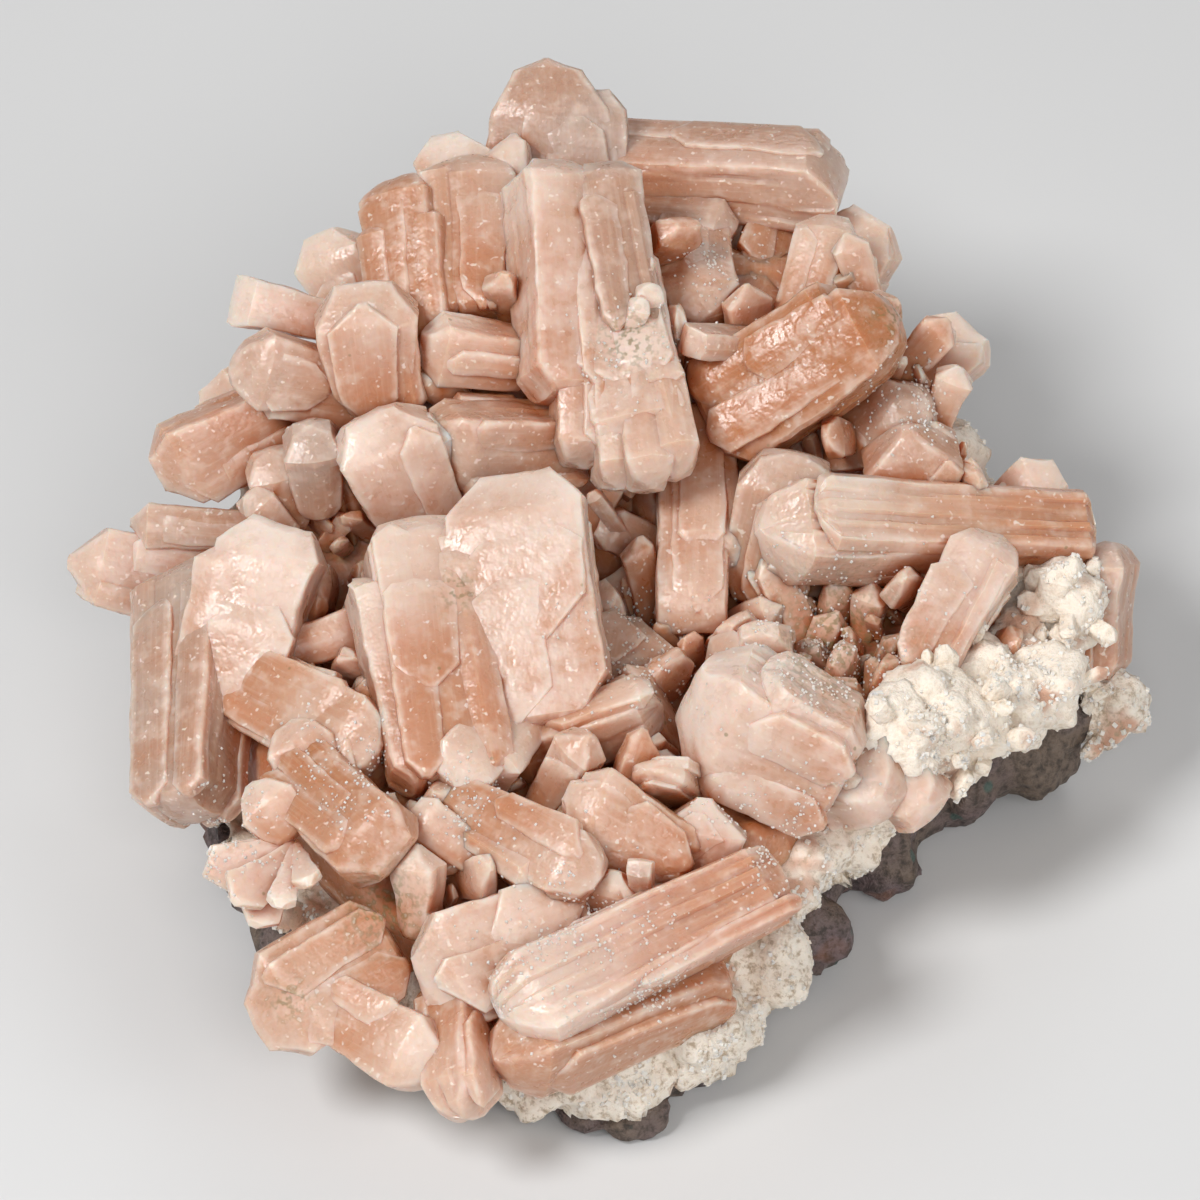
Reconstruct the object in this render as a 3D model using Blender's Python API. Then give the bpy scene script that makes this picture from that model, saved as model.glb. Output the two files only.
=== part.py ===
# A hand specimen of stilbite: a cluster of peach-coloured crystals on a piece of rock.
#
# Dark rock stands flat on the table. A pale granular crust covers it, and swells into lumps along
# the right and front rim. The crystals, thick tablets and ribbed sheaves, grow from one druse
# layer over the crust, and are one solid with it. Sizes are in millimetres; meshes are in metres.
#
# Most places are given as they show from the specimen's best side, which is from the front and
# half above: how far across and how far up from the middle of that view, and how far the place
# stands off the growing surface, towards the viewer.

import math
import random

import bmesh
import bpy
from mathutils import Matrix, Vector, noise

MM = 0.001

# The best side's line of sight, and the point that it is aimed at.
SIGHT_ELEVATION = math.radians(45.0)
SIGHT_DISTANCE = 800.0
SIGHT_AIM = Vector((0.0, 0.0, 26.9))
ACROSS = Vector((1.0, 0.0, 0.0))
UPWARD = Vector((0.0, math.sin(SIGHT_ELEVATION), math.cos(SIGHT_ELEVATION)))
TOWARDS = Vector((0.0, -math.cos(SIGHT_ELEVATION), math.sin(SIGHT_ELEVATION)))

# The rock's outline on the table, and the middle that its bearings are taken from.
ROCK_MIDDLE = Vector((0.0, -5.0))
ROCK_CORNERS = [
    (47.0, 3.0), (44.0, -2.0), (37.0, -5.5), (31.0, -9.0), (28.0, -14.5), (24.0, -17.0),
    (20.0, -26.0), (16.0, -30.0), (13.5, -37.0), (8.0, -45.0), (-9.5, -45.5), (-22.0, -36.0),
    (-31.0, -26.0), (-37.5, -15.0), (-40.5, -4.0), (-40.5, 7.0), (-35.0, 21.0), (-25.0, 33.0),
    (-11.0, 42.5), (9.0, 44.5), (23.0, 41.0), (34.0, 29.0), (42.0, 16.0),
]

# Heights of the growing surface: a low shelf in front, and a ridge along the back.
SHELF_HEIGHT = 21.0
RIDGE_RISE, RIDGE_STARTS, RIDGE_RUN = 19.0, 2.0, 30.0
FRONT_FALL, FRONT_STARTS, FRONT_RUN = 9.0, -28.0, 20.0
SIDE_FALL, SIDE_STARTS, SIDE_RUN = 7.0, 30.0, 20.0
POCKETS = [((4.0, 11.0), 7.0, 6.0), ((16.0, 29.0), 5.0, 7.0)]
HIGHEST = 70.0
DRUSE_THICK = 4.5
CRUST_THICK = 3.5

# The druse ends inside the rock's outline, and the crust reaches past it. The rock is the roughest.
DRUSE_REACH, CRUST_REACH, ROCK_REACH = -3.0, 1.5, 0.0
DRUSE_ROUGHNESS, CRUST_ROUGHNESS, ROCK_ROUGHNESS = 1.5, 1.5, 4.0
BUMP_SIZE = 8.0

# Roots of the crystals lead to this point inside the specimen.
HEART = Vector((0.0, 4.0, 8.0))

# Neighbouring pieces keep this gap.
GAP = 0.35

# The middle of the finished specimen's footprint, which becomes the origin.
FOOTPRINT_MIDDLE = Vector((0.65, -1.3, 0.0))


# Start from an empty scene.
for old in list(bpy.data.objects):
    bpy.data.objects.remove(old)


def smooth_step(value):
    """0 below 0, 1 above 1, and an even slope between."""
    value = min(max(value, 0.0), 1.0)
    return value * value * (3.0 - 2.0 * value)


def druse_height(x, y):
    """Height above the table of the surface that the crystals grow from."""
    height = SHELF_HEIGHT + RIDGE_RISE * smooth_step((y - RIDGE_STARTS) / RIDGE_RUN)
    height -= FRONT_FALL * smooth_step((FRONT_STARTS - y) / FRONT_RUN)
    height -= SIDE_FALL * smooth_step((abs(x) - SIDE_STARTS) / SIDE_RUN)
    for (middle_x, middle_y), radius, depth in POCKETS:
        away = math.hypot(x - middle_x, y - middle_y) / radius
        height -= depth * math.exp(-away * away)
    return height


def seen(across, up, stand_off):
    """The point that shows at (across, up) from the best side, off the growing surface."""
    eye = SIGHT_AIM + SIGHT_DISTANCE * TOWARDS
    ray = (SIGHT_AIM + across * ACROSS + up * UPWARD - eye).normalized()
    above = (HIGHEST - eye.z) / ray.z
    below = (0.0 - eye.z) / ray.z
    for _ in range(30):
        middle = (above + below) / 2
        spot = eye + middle * ray
        if spot.z > druse_height(spot.x, spot.y):
            above = middle
        else:
            below = middle
    return eye + (above - stand_off) * ray


def mesh_object(name, points, faces, grow=0.0):
    """A closed mesh object from points in millimetres, with its skin moved out by `grow`."""
    shape = bmesh.new()
    corners = [shape.verts.new((point - FOOTPRINT_MIDDLE) * MM) for point in points]
    for face in faces:
        shape.faces.new([corners[i] for i in face])
    bmesh.ops.recalc_face_normals(shape, faces=shape.faces)
    if grow:
        shape.normal_update()
        moves = [vertex.normal * vertex.calc_shell_factor() * grow * MM for vertex in corners]
        for vertex, move in zip(corners, moves):
            vertex.co += move
    mesh = bpy.data.meshes.new(name)
    shape.to_mesh(mesh)
    shape.free()
    piece = bpy.data.objects.new(name, mesh)
    bpy.context.scene.collection.objects.link(piece)
    return piece


# Faces of a crystal that meet at less than this are one face.
FLAT = math.radians(0.5)


def hull_object(name, corners):
    """The convex hull of the corners, as an object."""
    shape = bmesh.new()
    for corner in corners:
        shape.verts.new(corner)
    hull = bmesh.ops.convex_hull(shape, input=shape.verts)
    inside = [item for item in hull["geom_interior"] if isinstance(item, bmesh.types.BMVert)]
    bmesh.ops.delete(shape, geom=inside, context="VERTS")
    bmesh.ops.dissolve_limit(shape, angle_limit=FLAT, verts=shape.verts, edges=shape.edges)
    shape.verts.index_update()
    points = [vertex.co.copy() for vertex in shape.verts]
    faces = [[vertex.index for vertex in face.verts] for face in shape.faces]
    shape.free()
    return mesh_object(name, points, faces)


def combine(base, others, operation):
    """The base joined with (UNION) or cut by (DIFFERENCE) the others, which are used up."""
    group = bpy.data.collections.new("others")
    bpy.context.scene.collection.children.link(group)
    for other in others:
        bpy.context.scene.collection.objects.unlink(other)
        group.objects.link(other)
    tool = base.modifiers.new("combine", "BOOLEAN")
    tool.operand_type = "COLLECTION"
    tool.collection = group
    tool.operation = operation
    tool.solver = "EXACT"
    evaluated = base.evaluated_get(bpy.context.evaluated_depsgraph_get())
    mesh = bpy.data.meshes.new_from_object(evaluated)
    base.modifiers.remove(tool)
    base.data = mesh
    for other in others:
        bpy.data.objects.remove(other)
    bpy.data.collections.remove(group)


def keep_outer_skin(piece):
    """Drops crumbs and sealed hollows: only the largest connected skin stays."""
    shape = bmesh.new()
    shape.from_mesh(piece.data)
    waiting = set(shape.verts)
    skins = []
    while waiting:
        to_visit = [waiting.pop()]
        skin = list(to_visit)
        while to_visit:
            for edge in to_visit.pop().link_edges:
                for other in edge.verts:
                    if other in waiting:
                        waiting.remove(other)
                        to_visit.append(other)
                        skin.append(other)
        skins.append(skin)
    skins.sort(key=len)
    for skin in skins[:-1]:
        bmesh.ops.delete(shape, geom=skin, context="VERTS")
    shape.to_mesh(piece.data)
    shape.free()


def outline_radius(bearing):
    """Distance from the rock's middle to its outline, along a bearing in radians."""
    spots = []
    for x, y in ROCK_CORNERS:
        out = Vector((x, y)) - ROCK_MIDDLE
        spots.append((math.atan2(out.y, out.x), out.length))
    spots.sort()
    turn = 2.0 * math.pi
    spots = [(spots[-1][0] - turn, spots[-1][1])] + spots + [(spots[0][0] + turn, spots[0][1])]
    for (start, near), (end, far) in zip(spots, spots[1:]):
        if start <= bearing <= end:
            return near + (far - near) * (bearing - start) / (end - start)
    return spots[0][1]


# Share of the radius, and of the height, at each ring of a dome from its crown to its foot.
DOME_RINGS = [(0.45, 1.0), (0.75, 1.0), (0.92, 0.96), (0.99, 0.8), (1.0, 0.4), (0.95, 0.0)]
DOME_SIDES = 20
THINNEST_DOME = 3.5


def dome(name, reach, top, foot, roughness, grow=0.0):
    """A rough dome over the rock's outline, `reach` wider, from foot(bearing) up to top(x, y)."""
    points = []
    for share, rise in DOME_RINGS:
        for i in range(DOME_SIDES):
            bearing = math.pi * (2.0 * i / DOME_SIDES - 1.0)
            ray = Vector((math.cos(bearing), math.sin(bearing)))
            spot = ROCK_MIDDLE + ray * share * (outline_radius(bearing) + reach)
            low = foot(bearing)
            thick = max(top(spot.x, spot.y) - low, THINNEST_DOME)
            height = low + thick * rise
            place = Vector((spot.x, spot.y, height)) / BUMP_SIZE
            lump = min(roughness, thick / 3) * noise.noise(place)
            spot += ray * lump * share
            points.append(Vector((spot.x, spot.y, height + lump * rise)))
    middle_x, middle_y = ROCK_MIDDLE
    points.append(Vector((middle_x, middle_y, top(middle_x, middle_y))))
    points.append(Vector((middle_x, middle_y, min(point.z for point in points))))
    faces = []
    last_ring = (len(DOME_RINGS) - 1) * DOME_SIDES
    for i in range(DOME_SIDES):
        after = (i + 1) % DOME_SIDES
        faces.append((i, after, len(points) - 2))
        faces.append((after + last_ring, i + last_ring, len(points) - 1))
        for ring in range(0, last_ring, DOME_SIDES):
            below = ring + DOME_SIDES
            faces.append((after + ring, i + ring, i + below))
            faces.append((after + ring, i + below, after + below))
    return mesh_object(name, points, faces, grow)


CRUST_FOOT, CRUST_BACK_RISE, CRUST_FRONT_DROP = 7.0, 20.0, 4.0


def crust_foot(bearing):
    """The crust reaches low in front, and leaves most of the broken back bare."""
    back = math.sin(bearing)
    rise = CRUST_BACK_RISE * smooth_step(back)
    return CRUST_FOOT + rise - CRUST_FRONT_DROP * smooth_step(-back)


LUMP_ROUGHNESS = 1.3


def lump(middle, radii, floor, grow=0.0):
    """A rough rounded lump, cut off flat where it would go under the floor height."""
    shape = bmesh.new()
    bmesh.ops.create_icosphere(shape, subdivisions=2, radius=1.0)
    points = []
    for vertex in shape.verts:
        ray = vertex.co
        spot = middle + Vector([ray[i] * radii[i] for i in range(3)])
        spot += ray * LUMP_ROUGHNESS * noise.noise(middle + ray * LUMP_ROUGHNESS)
        spot.z = max(spot.z, floor)
        points.append(spot)
    shape.verts.index_update()
    faces = [[vertex.index for vertex in face.verts] for face in shape.faces]
    shape.free()
    return mesh_object("lump", points, faces, grow)


# The end of a tablet, as (share of half the width, distance below the tip over half the width).
ENDS = {
    "peak": [(-1.0, 0.75), (-0.15, 0.0), (0.15, 0.0), (1.0, 0.75)],
    "blunt": [(-1.0, 0.6), (-0.5, 0.0), (0.5, 0.0), (1.0, 0.6)],
    "square": [(-1.0, 0.15), (-0.85, 0.0), (0.85, 0.0), (1.0, 0.15)],
    "left": [(-1.0, 0.5), (-0.6, 0.0), (-0.25, 0.0), (1.0, 1.0)],
    "right": [(-1.0, 1.0), (0.25, 0.0), (0.6, 0.0), (1.0, 0.5)],
    "round": [(-1.0, 0.8), (-0.62, 0.15), (0.0, 0.0), (0.62, 0.15), (1.0, 0.8)],
    "cut": [(-1.0, 0.0), (1.0, 0.0)],
}

# Crystals from this width up have bevelled edges. The bevel is a share of the thinner side.
SMALLEST_BEVELLED = 7.9
BEVEL_SHARE = 0.25
# Blades of a ribbed crystal overlap, and every other one is a little smaller.
BLADE_OVERLAP = 1.15
BLADE_STEP = 0.05
# A buried stalk starts part of the way up its crystal, and narrows until it is deep in the druse.
ROOT_STARTS, ROOT_WIDTH, ROOT_TAPER = 0.3, 0.7, 0.75
ROOT_SINKS, SHORTEST_ROOT, LONGEST_ROOT = 2.5, 3.0, 24.0

crystals = []


def crystal(tip, foot, width, thick, face=0.0, end="blunt", flare=0.8, blades=1, spread=0.0,
            back="cut", rooted=False):
    """A tablet from foot to tip. Face is how far, in degrees, its broad side is turned away."""
    along = (tip - foot).normalized()
    facing = (TOWARDS - TOWARDS.dot(along) * along).normalized()
    facing = Matrix.Rotation(-math.radians(face), 3, along) @ facing
    sideways = along.cross(facing)
    length = (tip - foot).length
    for blade in range(blades):
        place = (blade + 0.5) / blades - 0.5
        turn = Matrix.Rotation(math.radians(-spread * place), 3, sideways)
        start = foot + facing * place * thick
        axes = (turn @ along, sideways, turn @ facing)
        blade_thick = thick / blades * (1.0 if blades == 1 else BLADE_OVERLAP)
        smaller = 1.0 - BLADE_STEP * (blade % 2)
        crystals.append(tablet(start, axes, smaller * length, smaller * width, blade_thick,
                               end, flare, back))
    if rooted:
        root(foot + ROOT_STARTS * (tip - foot), sideways, facing, ROOT_WIDTH * width,
             ROOT_WIDTH * thick)


def tablet(foot, axes, length, width, thick, end, flare, back):
    """A flat-faced crystal, the hull of its corners. All but the small ones have bevelled edges."""
    along, sideways, facing = axes
    bevel = BEVEL_SHARE * min(thick, width) if width > SMALLEST_BEVELLED else 0.0
    inset = 1.0 - 2.0 * bevel / width
    outline = [(share, length - below * width / 2, -bevel) for share, below in ENDS[end]]
    for share, above in ENDS[back]:
        outline.append((share * flare, above * width / 2, 0.0 if back == "cut" else bevel))
    corners = []
    for share, z, lift in outline:
        x = share * width / 2
        if bevel:
            corners.append(foot + x * sideways + z * along)
        for side in (-0.5, 0.5):
            corners.append(foot + x * inset * sideways + side * thick * facing + (z + lift) * along)
    return hull_object("tablet", corners)


def root(start, sideways, facing, width, thick):
    """The buried stalk that joins a crystal to the druse: it narrows towards the heart."""
    inward = (HEART - start).normalized()
    depth = 0.0
    spot = start.copy()
    while spot.z > druse_height(spot.x, spot.y) - ROOT_SINKS and depth < LONGEST_ROOT:
        depth += 1.0
        spot = start + depth * inward
    if depth < SHORTEST_ROOT:
        return
    corners = []
    for middle, size in ((start, 1.0), (spot, ROOT_TAPER)):
        for x in (-0.5, 0.5):
            for y in (-0.5, 0.5):
                corners.append(middle + size * (x * width * sideways + y * thick * facing))
    crystals.append(hull_object("root", corners))


# Crown: the tall sheaves along the top.
crystal(seen(-5.2, 53.8, 17), seen(-4.8, 40, 3), 12, 7, 0, "round", 1.15)
crystal(seen(-14, 46.8, 9), seen(-13, 36, 3), 11, 4, 15)
crystal(seen(-12.3, 44.6, 11), seen(-12, 28, 4), 8.5, 7, 0, "round")
crystal(seen(-19.5, 42.6, 10), seen(-17.5, 20.5, 4), 7.5, 8, 25, "round")
crystal(seen(-5, 44.3, 17), seen(-3.5, 20, 10), 8.5, 9, -25, "blunt", 0.95)
crystal(seen(0.3, 43.8, 17), seen(3, 26, 10), 7, 7, -10)
crystal(seen(5, 37, 15), seen(3, 28, 9), 5, 5, 0, "round")
crystal(seen(24.5, 41.6, 4), seen(-1, 43, 4), 9, 8.5, 60, "square", 0.9)
crystal(seen(13.5, 37, 1), seen(3, 38.5, 2), 5, 5, 40)
crystal(seen(9.5, 27.5, 3), seen(9.5, 38, 1), 8.5, 6, 0, "round")
crystal(seen(15, 28, 1), seen(18, 40, 0), 6, 4, 0, "peak")
crystal(seen(23.5, 38.3, 6), seen(20.5, 27, 4), 6.5, 6, 20)

# The lower half of the tall central sheaf opens into fingers.
for finger_tip, finger_foot, finger_width in (
    (seen(-2, 13, 9), seen(-2.5, 30, 9), 6),
    (seen(1.8, 10.8, 12), seen(0, 30, 10), 5),
    (seen(5, 11, 14), seen(1, 31, 11), 5),
    (seen(8.2, 12.5, 13), seen(2.5, 31, 11), 5),
):
    crystal(finger_tip, finger_foot, finger_width, 7, 10, "round")

# Right of the crown: the broad scoop, its ledge, and the tablets behind and under it.
crystal(seen(30, 28.3, 9), seen(11, 17.5, 5), 9.5, 8, 10, "round", 1.35, 2, 8)
crystal(seen(8.5, 26, 9), seen(19, 25.5, 7), 3, 5, 20, "square")
crystal(seen(33.2, 18.5, 4), seen(23, 16, -1), 8.5, 6, 10, "round")
crystal(seen(29, 23.5, 1), seen(25, 16, -1), 8, 5, 0, "round")
crystal(seen(9.8, -3.5, 5), seen(9, 19, 3), 7.5, 5, 0, "square", 0.9)

# Left flank: tablets that point out to the left.
crystal(seen(-36.8, 30.3, 5), seen(-25.5, 27.5, 3), 5.5, 5, 0, "square")
crystal(seen(-37, 23.8, 8), seen(-23, 21, 4), 8, 6.5, 10, "round")
crystal(seen(-23.8, 31.4, 11), seen(-22.3, 18.5, 5), 10.5, 7, 0)
crystal(seen(-44, 12, 5), seen(-31, 19.5, 2), 8.5, 6, 20)
crystal(seen(-53, 3.8, 4), seen(-39, 1, 1), 8, 6, 0, "peak", 1.1, rooted=True)
crystal(seen(-47, 7.5, 4), seen(-33, 6.8, 2), 5, 5, 0, "peak")
crystal(seen(-39.5, 4.3, 9), seen(-41.3, -21.5, 5), 8, 8, 55, "square", 0.9, back="blunt")
crystal(seen(-32.3, 8, 13), seen(-37, -11, 7), 11, 7, 10)
crystal(seen(-22.7, -2.5, 8), seen(-34, -6, 9), 5, 5, 0)
crystal(seen(-22, -15.5, 9), seen(-35.5, -8, 10), 9, 5, 0, "round")
crystal(seen(-31, -12, 11), seen(-28, -20, 6), 7, 5, 0, "round")
crystal(seen(-21, -26, 9), seen(-31, -17, 8), 9, 6, 0)
crystal(seen(-35, -18.5, 10), seen(-30.5, -24, 6), 6.5, 4, 0, "round")
crystal(seen(-23, 18.7, 11), seen(-18, 7, 6), 10.5, 7, -5)
crystal(seen(-29, 17.5, 9), seen(-28, 9, 5), 6, 6, 0, "round")
crystal(seen(-33, 15, 6), seen(-31, 7, 3), 6, 5, 0, "round")
crystal(seen(-35, 10.8, 7), seen(-31, 6, 5), 4, 4, 0)
crystal(seen(-24, 1, 7), seen(-21, -8, 4), 6, 5, 0)

# A small fan of thin blades at the lower left.
for fan_tip, fan_width in (
    (seen(-39.8, -27.5, 6), 5), (seen(-36.5, -30.5, 7), 5), (seen(-34.5, -33, 3), 4),
    (seen(-32, -30.8, 8), 3), (seen(-29, -28.5, 8), 3),
):
    crystal(fan_tip, seen(-30.5, -24.5, 6), fan_width, 2, 0, "blunt", 0.5)

# Middle: the two tall tablets, and the blocks around the deep pocket.
crystal(seen(-18.5, 8.8, 13), seen(-14.5, -19, 8), 11, 8, -10, "round", 0.9, back="blunt")
crystal(seen(-9.5, 13, 15), seen(-5.5, -13, 9), 14.5, 7, 5, "blunt", 0.95, back="left")
crystal(seen(-15, -18.5, 9), seen(-6, -8, 9), 7, 5, 0)
crystal(seen(-17.3, 15.3, 8), seen(-1.5, 16, 5), 8.5, 8, 25)
crystal(seen(-18, 25.5, 6), seen(-6, 24, 5), 7, 6, 25)
crystal(seen(-1.2, 10.7, 7), seen(6, 2, 1), 1.8, 1.5, 20)
crystal(seen(0, 7.8, 4), seen(9, 3.5, 1), 5, 3, 0)
crystal(seen(1, 2.5, 5), seen(6, -3, 1), 6.5, 4, 0)
crystal(seen(3, -1.6, 9), seen(1.5, -11, 4), 11.5, 5, 0, "peak")
crystal(seen(6.2, -10, 9), seen(-9.5, -16, 5), 6.5, 6.5, 55, "peak")
crystal(seen(8.6, -9.5, 13), seen(25, -17.5, 7), 12.5, 11, 30, "blunt", 0.9, rooted=True)
crystal(seen(-4.5, -21, 8), seen(8.5, -28, 4), 9.5, 5, 0, "right")
crystal(seen(10.8, -19.8, 7), seen(9.5, -29, 1), 8.5, 5, 0, "peak")
crystal(seen(5, -15, 6), seen(6, -21, 3), 7, 4, 0)
crystal(seen(-0.5, -28, 9), seen(-15, -20, 8), 7.5, 5, 10, "round")

# Front: the big ribbed sheaf that leans over the rim, and the tablets left of it.
crystal(seen(-10.5, -42, 8), seen(18, -27.5, 6), 9, 9, 75, "round", 0.8, 2, 8)
crystal(seen(-10.5, -46, 5), seen(12, -37, 2), 9, 8, 60, "round", 0.8)
crystal(seen(-18.3, -24.5, 8), seen(-18, -34, 4), 5, 4, 30, "peak")
crystal(seen(-19, -21, 8), seen(-11, -27, 6), 5, 3, 0)
crystal(seen(-18, -38.5, 6), seen(-1, -31.5, 5), 12, 6, 0)
crystal(seen(3.9, -26.2, 9), seen(4.6, -31, 5), 2.6, 2.4, 20, "square")
crystal(seen(1.5, -27.2, 7), seen(0.5, -33, 4), 5, 3, 0, "peak")
crystal(seen(-34.3, -42.5, 3), seen(-20.5, -34.5, 4), 10.5, 6, 0, "blunt", 0.9)
crystal(seen(-16, -47, 4), seen(-27, -41, 4), 8, 6, 0, "round")
crystal(seen(-13.5, -51.8, 1), seen(-14.5, -38, 5), 7.5, 6, 60, "round")

# Right flank: the long ribbed sheaf that lies across, and the stubs around it.
crystal(seen(19.3, 15, 9), seen(15.5, 0, 3), 10, 6.5, 0, "round")
crystal(seen(16, 6.3, 11), seen(48.5, 6.5, 6), 9, 9, 70, "round", 0.9, 3, 5, back="round")
crystal(seen(30.8, 17, 7), seen(31.5, 10, 3), 10, 6, 0, "peak")
crystal(seen(39.8, 6.6, 11), seen(31.5, -8, 6), 7.5, 6.5, 10, "round")
crystal(seen(50.5, 5.8, 4), seen(50.5, -8, 1), 5.5, 8, 20, "round")
crystal(seen(28, -20, 5), seen(23, -14, 3), 9, 8, 0, "round")
crystal(seen(32.5, -20.5, 3), seen(28, -16, 1), 7, 6, 0, "round")
for stub_tip, stub_foot in (
    (seen(18, -0.3, 6), seen(12, -3.5, 2)), (seen(23.5, -1, 5), seen(21, -7, 0)),
    (seen(27.5, 1.5, 6), seen(26, -5, 0)), (seen(20, -4, 4), seen(23, -9, 0)),
):
    crystal(stub_tip, stub_foot, 3.5, 3, 20, "peak")

# Behind the ridge: tablets that lean out over the broken back of the rock.
for x, y, z, lean_x, lean_y, lean_z, width in (
    (-22, 32, 30, -7, 9, 9, 8), (-12, 38, 34, -4, 10, 9, 9), (0, 40, 33, 1, 12, 7, 10),
    (11, 40, 34, 3, 9, 8, 8), (22, 36, 30, 6, 8, 9, 9), (30, 27, 26, 8, 6, 8, 8),
    (-31, 22, 24, -9, 5, 7, 8), (38, 15, 20, 9, 4, 6, 7), (5, 41, 26, 2, 9, 1, 8),
    (-16, 38, 26, -5, 8, 0, 8), (26, 33, 20, 7, 7, 0, 7),
):
    back_foot = Vector((x, y, z))
    crystal(back_foot + Vector((lean_x, lean_y, lean_z)), back_foot, width, 5, 20, "blunt")

# Small crystals fill the druse between the large ones.
SMALL_TRIES = 10
SMALL_SHORTEST, SMALL_LONGEST = 7, 10
SMALL_NARROWEST, SMALL_WIDEST, SMALL_THICK = 4, 6, 3.5
SMALL_SUNK = 2.0
FURTHEST_OUT = 0.88
rng = random.Random(7)
for _ in range(SMALL_TRIES):
    x, y = rng.uniform(-36, 38), rng.uniform(-34, 34)
    out = Vector((x, y)) - ROCK_MIDDLE
    if out.length > FURTHEST_OUT * outline_radius(math.atan2(out.y, out.x)):
        continue
    small_foot = Vector((x, y, druse_height(x, y) - SMALL_SUNK))
    tilt = Vector((rng.uniform(-0.7, 0.7), rng.uniform(-0.9, 0.3), 1.0)).normalized()
    crystal(small_foot + tilt * rng.uniform(SMALL_SHORTEST, SMALL_LONGEST), small_foot,
            rng.uniform(SMALL_NARROWEST, SMALL_WIDEST), SMALL_THICK, rng.uniform(-60, 60))

druse = dome("stilbite_crystals", DRUSE_REACH, druse_height, crust_foot, DRUSE_ROUGHNESS)
combine(druse, crystals, "UNION")

# Lumps of the crust along the right and front rim, and of the rock below them. The crust stays
# just off the table.
CRUST_FLOOR = 0.5
CRUST_LUMPS = [
    (seen(40, -9, 3), (9, 7, 7)), (seen(45, -2, 4), (6, 5, 6)), (seen(33, -13, 3), (7, 6, 6)),
    (seen(29, -14, 7), (4, 4, 4)), (seen(26, -23, 2), (5, 5, 4)), (seen(49.5, -10, -4), (4.5, 4, 4)),
    (Vector((-3, -43, 6)), (9, 5, 6)), (Vector((10, -39, 7)), (6, 6, 6)),
    (Vector((16, -29, 8)), (5, 7, 6)),
]
ROCK_LUMPS = [
    (Vector((36, -3, 7)), (7, 6, 8)), (Vector((43, 0, 8)), (6, 6, 8)),
    (Vector((28, -13, 5)), (5, 5, 6)), (Vector((21, -25, 4.5)), (4, 4, 6)),
    (Vector((1, -46, 1.5)), (6, 3, 3)),
]


def crust_parts(grow=0.0):
    """The crust as a whole dome and its lumps. The rock is cut out of it later."""
    domed = dome("pale_crust", CRUST_REACH, lambda x, y: druse_height(x, y) - DRUSE_THICK,
                 crust_foot, CRUST_ROUGHNESS, grow)
    return [domed] + [lump(middle, radii, CRUST_FLOOR, grow) for middle, radii in CRUST_LUMPS]


def rock_parts(grow=0.0):
    """The rock as a flat-bottomed dome and its lumps."""
    below = DRUSE_THICK + CRUST_THICK
    domed = dome("matrix_rock", ROCK_REACH, lambda x, y: druse_height(x, y) - below,
                 lambda bearing: 0.0, ROCK_ROUGHNESS, grow)
    return [domed] + [lump(middle, radii, 0.0, grow) for middle, radii in ROCK_LUMPS]


crust, *crust_lumps = crust_parts()
combine(crust, crust_lumps, "UNION")
rock, *rock_lumps = rock_parts()
combine(rock, rock_lumps, "UNION")
combine(druse, crust_parts(GAP) + rock_parts(GAP), "DIFFERENCE")
combine(crust, rock_parts(GAP), "DIFFERENCE")
for piece in (druse, crust, rock):
    keep_outer_skin(piece)


def coat(piece, name, colour, roughness):
    """A plain material in the piece's main colour."""
    material = bpy.data.materials.new(name)
    material.use_nodes = True
    shader = material.node_tree.nodes["Principled BSDF"]
    shader.inputs["Base Color"].default_value = (*colour, 1.0)
    shader.inputs["Roughness"].default_value = roughness
    piece.data.materials.clear()
    piece.data.materials.append(material)


coat(druse, "peach stilbite", (0.75, 0.45, 0.35), 0.35)
coat(crust, "pale granular crust", (0.80, 0.74, 0.66), 0.8)
coat(rock, "dark host rock", (0.10, 0.08, 0.075), 0.8)
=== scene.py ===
import math
import random

import bmesh
import bpy
import numpy as np
from mathutils import Matrix, Vector, noise
from mathutils.bvhtree import BVHTree


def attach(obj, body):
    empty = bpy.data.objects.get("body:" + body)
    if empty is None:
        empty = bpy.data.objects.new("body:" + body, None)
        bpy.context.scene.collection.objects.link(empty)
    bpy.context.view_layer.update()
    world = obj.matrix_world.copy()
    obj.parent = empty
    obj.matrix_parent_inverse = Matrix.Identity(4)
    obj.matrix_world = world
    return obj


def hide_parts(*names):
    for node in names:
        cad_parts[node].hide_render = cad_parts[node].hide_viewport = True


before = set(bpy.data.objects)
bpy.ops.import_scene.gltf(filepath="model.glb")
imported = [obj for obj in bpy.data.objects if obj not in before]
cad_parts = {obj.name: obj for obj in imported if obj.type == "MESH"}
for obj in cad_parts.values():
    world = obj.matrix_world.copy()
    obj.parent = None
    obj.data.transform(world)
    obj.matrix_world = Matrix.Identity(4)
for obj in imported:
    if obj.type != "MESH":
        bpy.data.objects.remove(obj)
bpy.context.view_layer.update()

# The best side
# The specimen is looked at from the front and half above, as a collector sets it out. Its crystals
# are placed by how they show from there, in millimetres across and up from the view's middle.
MM = 0.001
SIGHT_ELEVATION = math.radians(45.0)
SIGHT_DISTANCE = 800.0
SIGHT_AIM = Vector((0.0, 0.0, 26.9))
VIEW_WIDTH = 120.0
FOOTPRINT_MIDDLE = Vector((0.65, -1.3, 0.0))
ACROSS = Vector((1.0, 0.0, 0.0))
UPWARD = Vector((0.0, math.sin(SIGHT_ELEVATION), math.cos(SIGHT_ELEVATION)))
TOWARDS = Vector((0.0, -math.cos(SIGHT_ELEVATION), math.sin(SIGHT_ELEVATION)))

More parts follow.
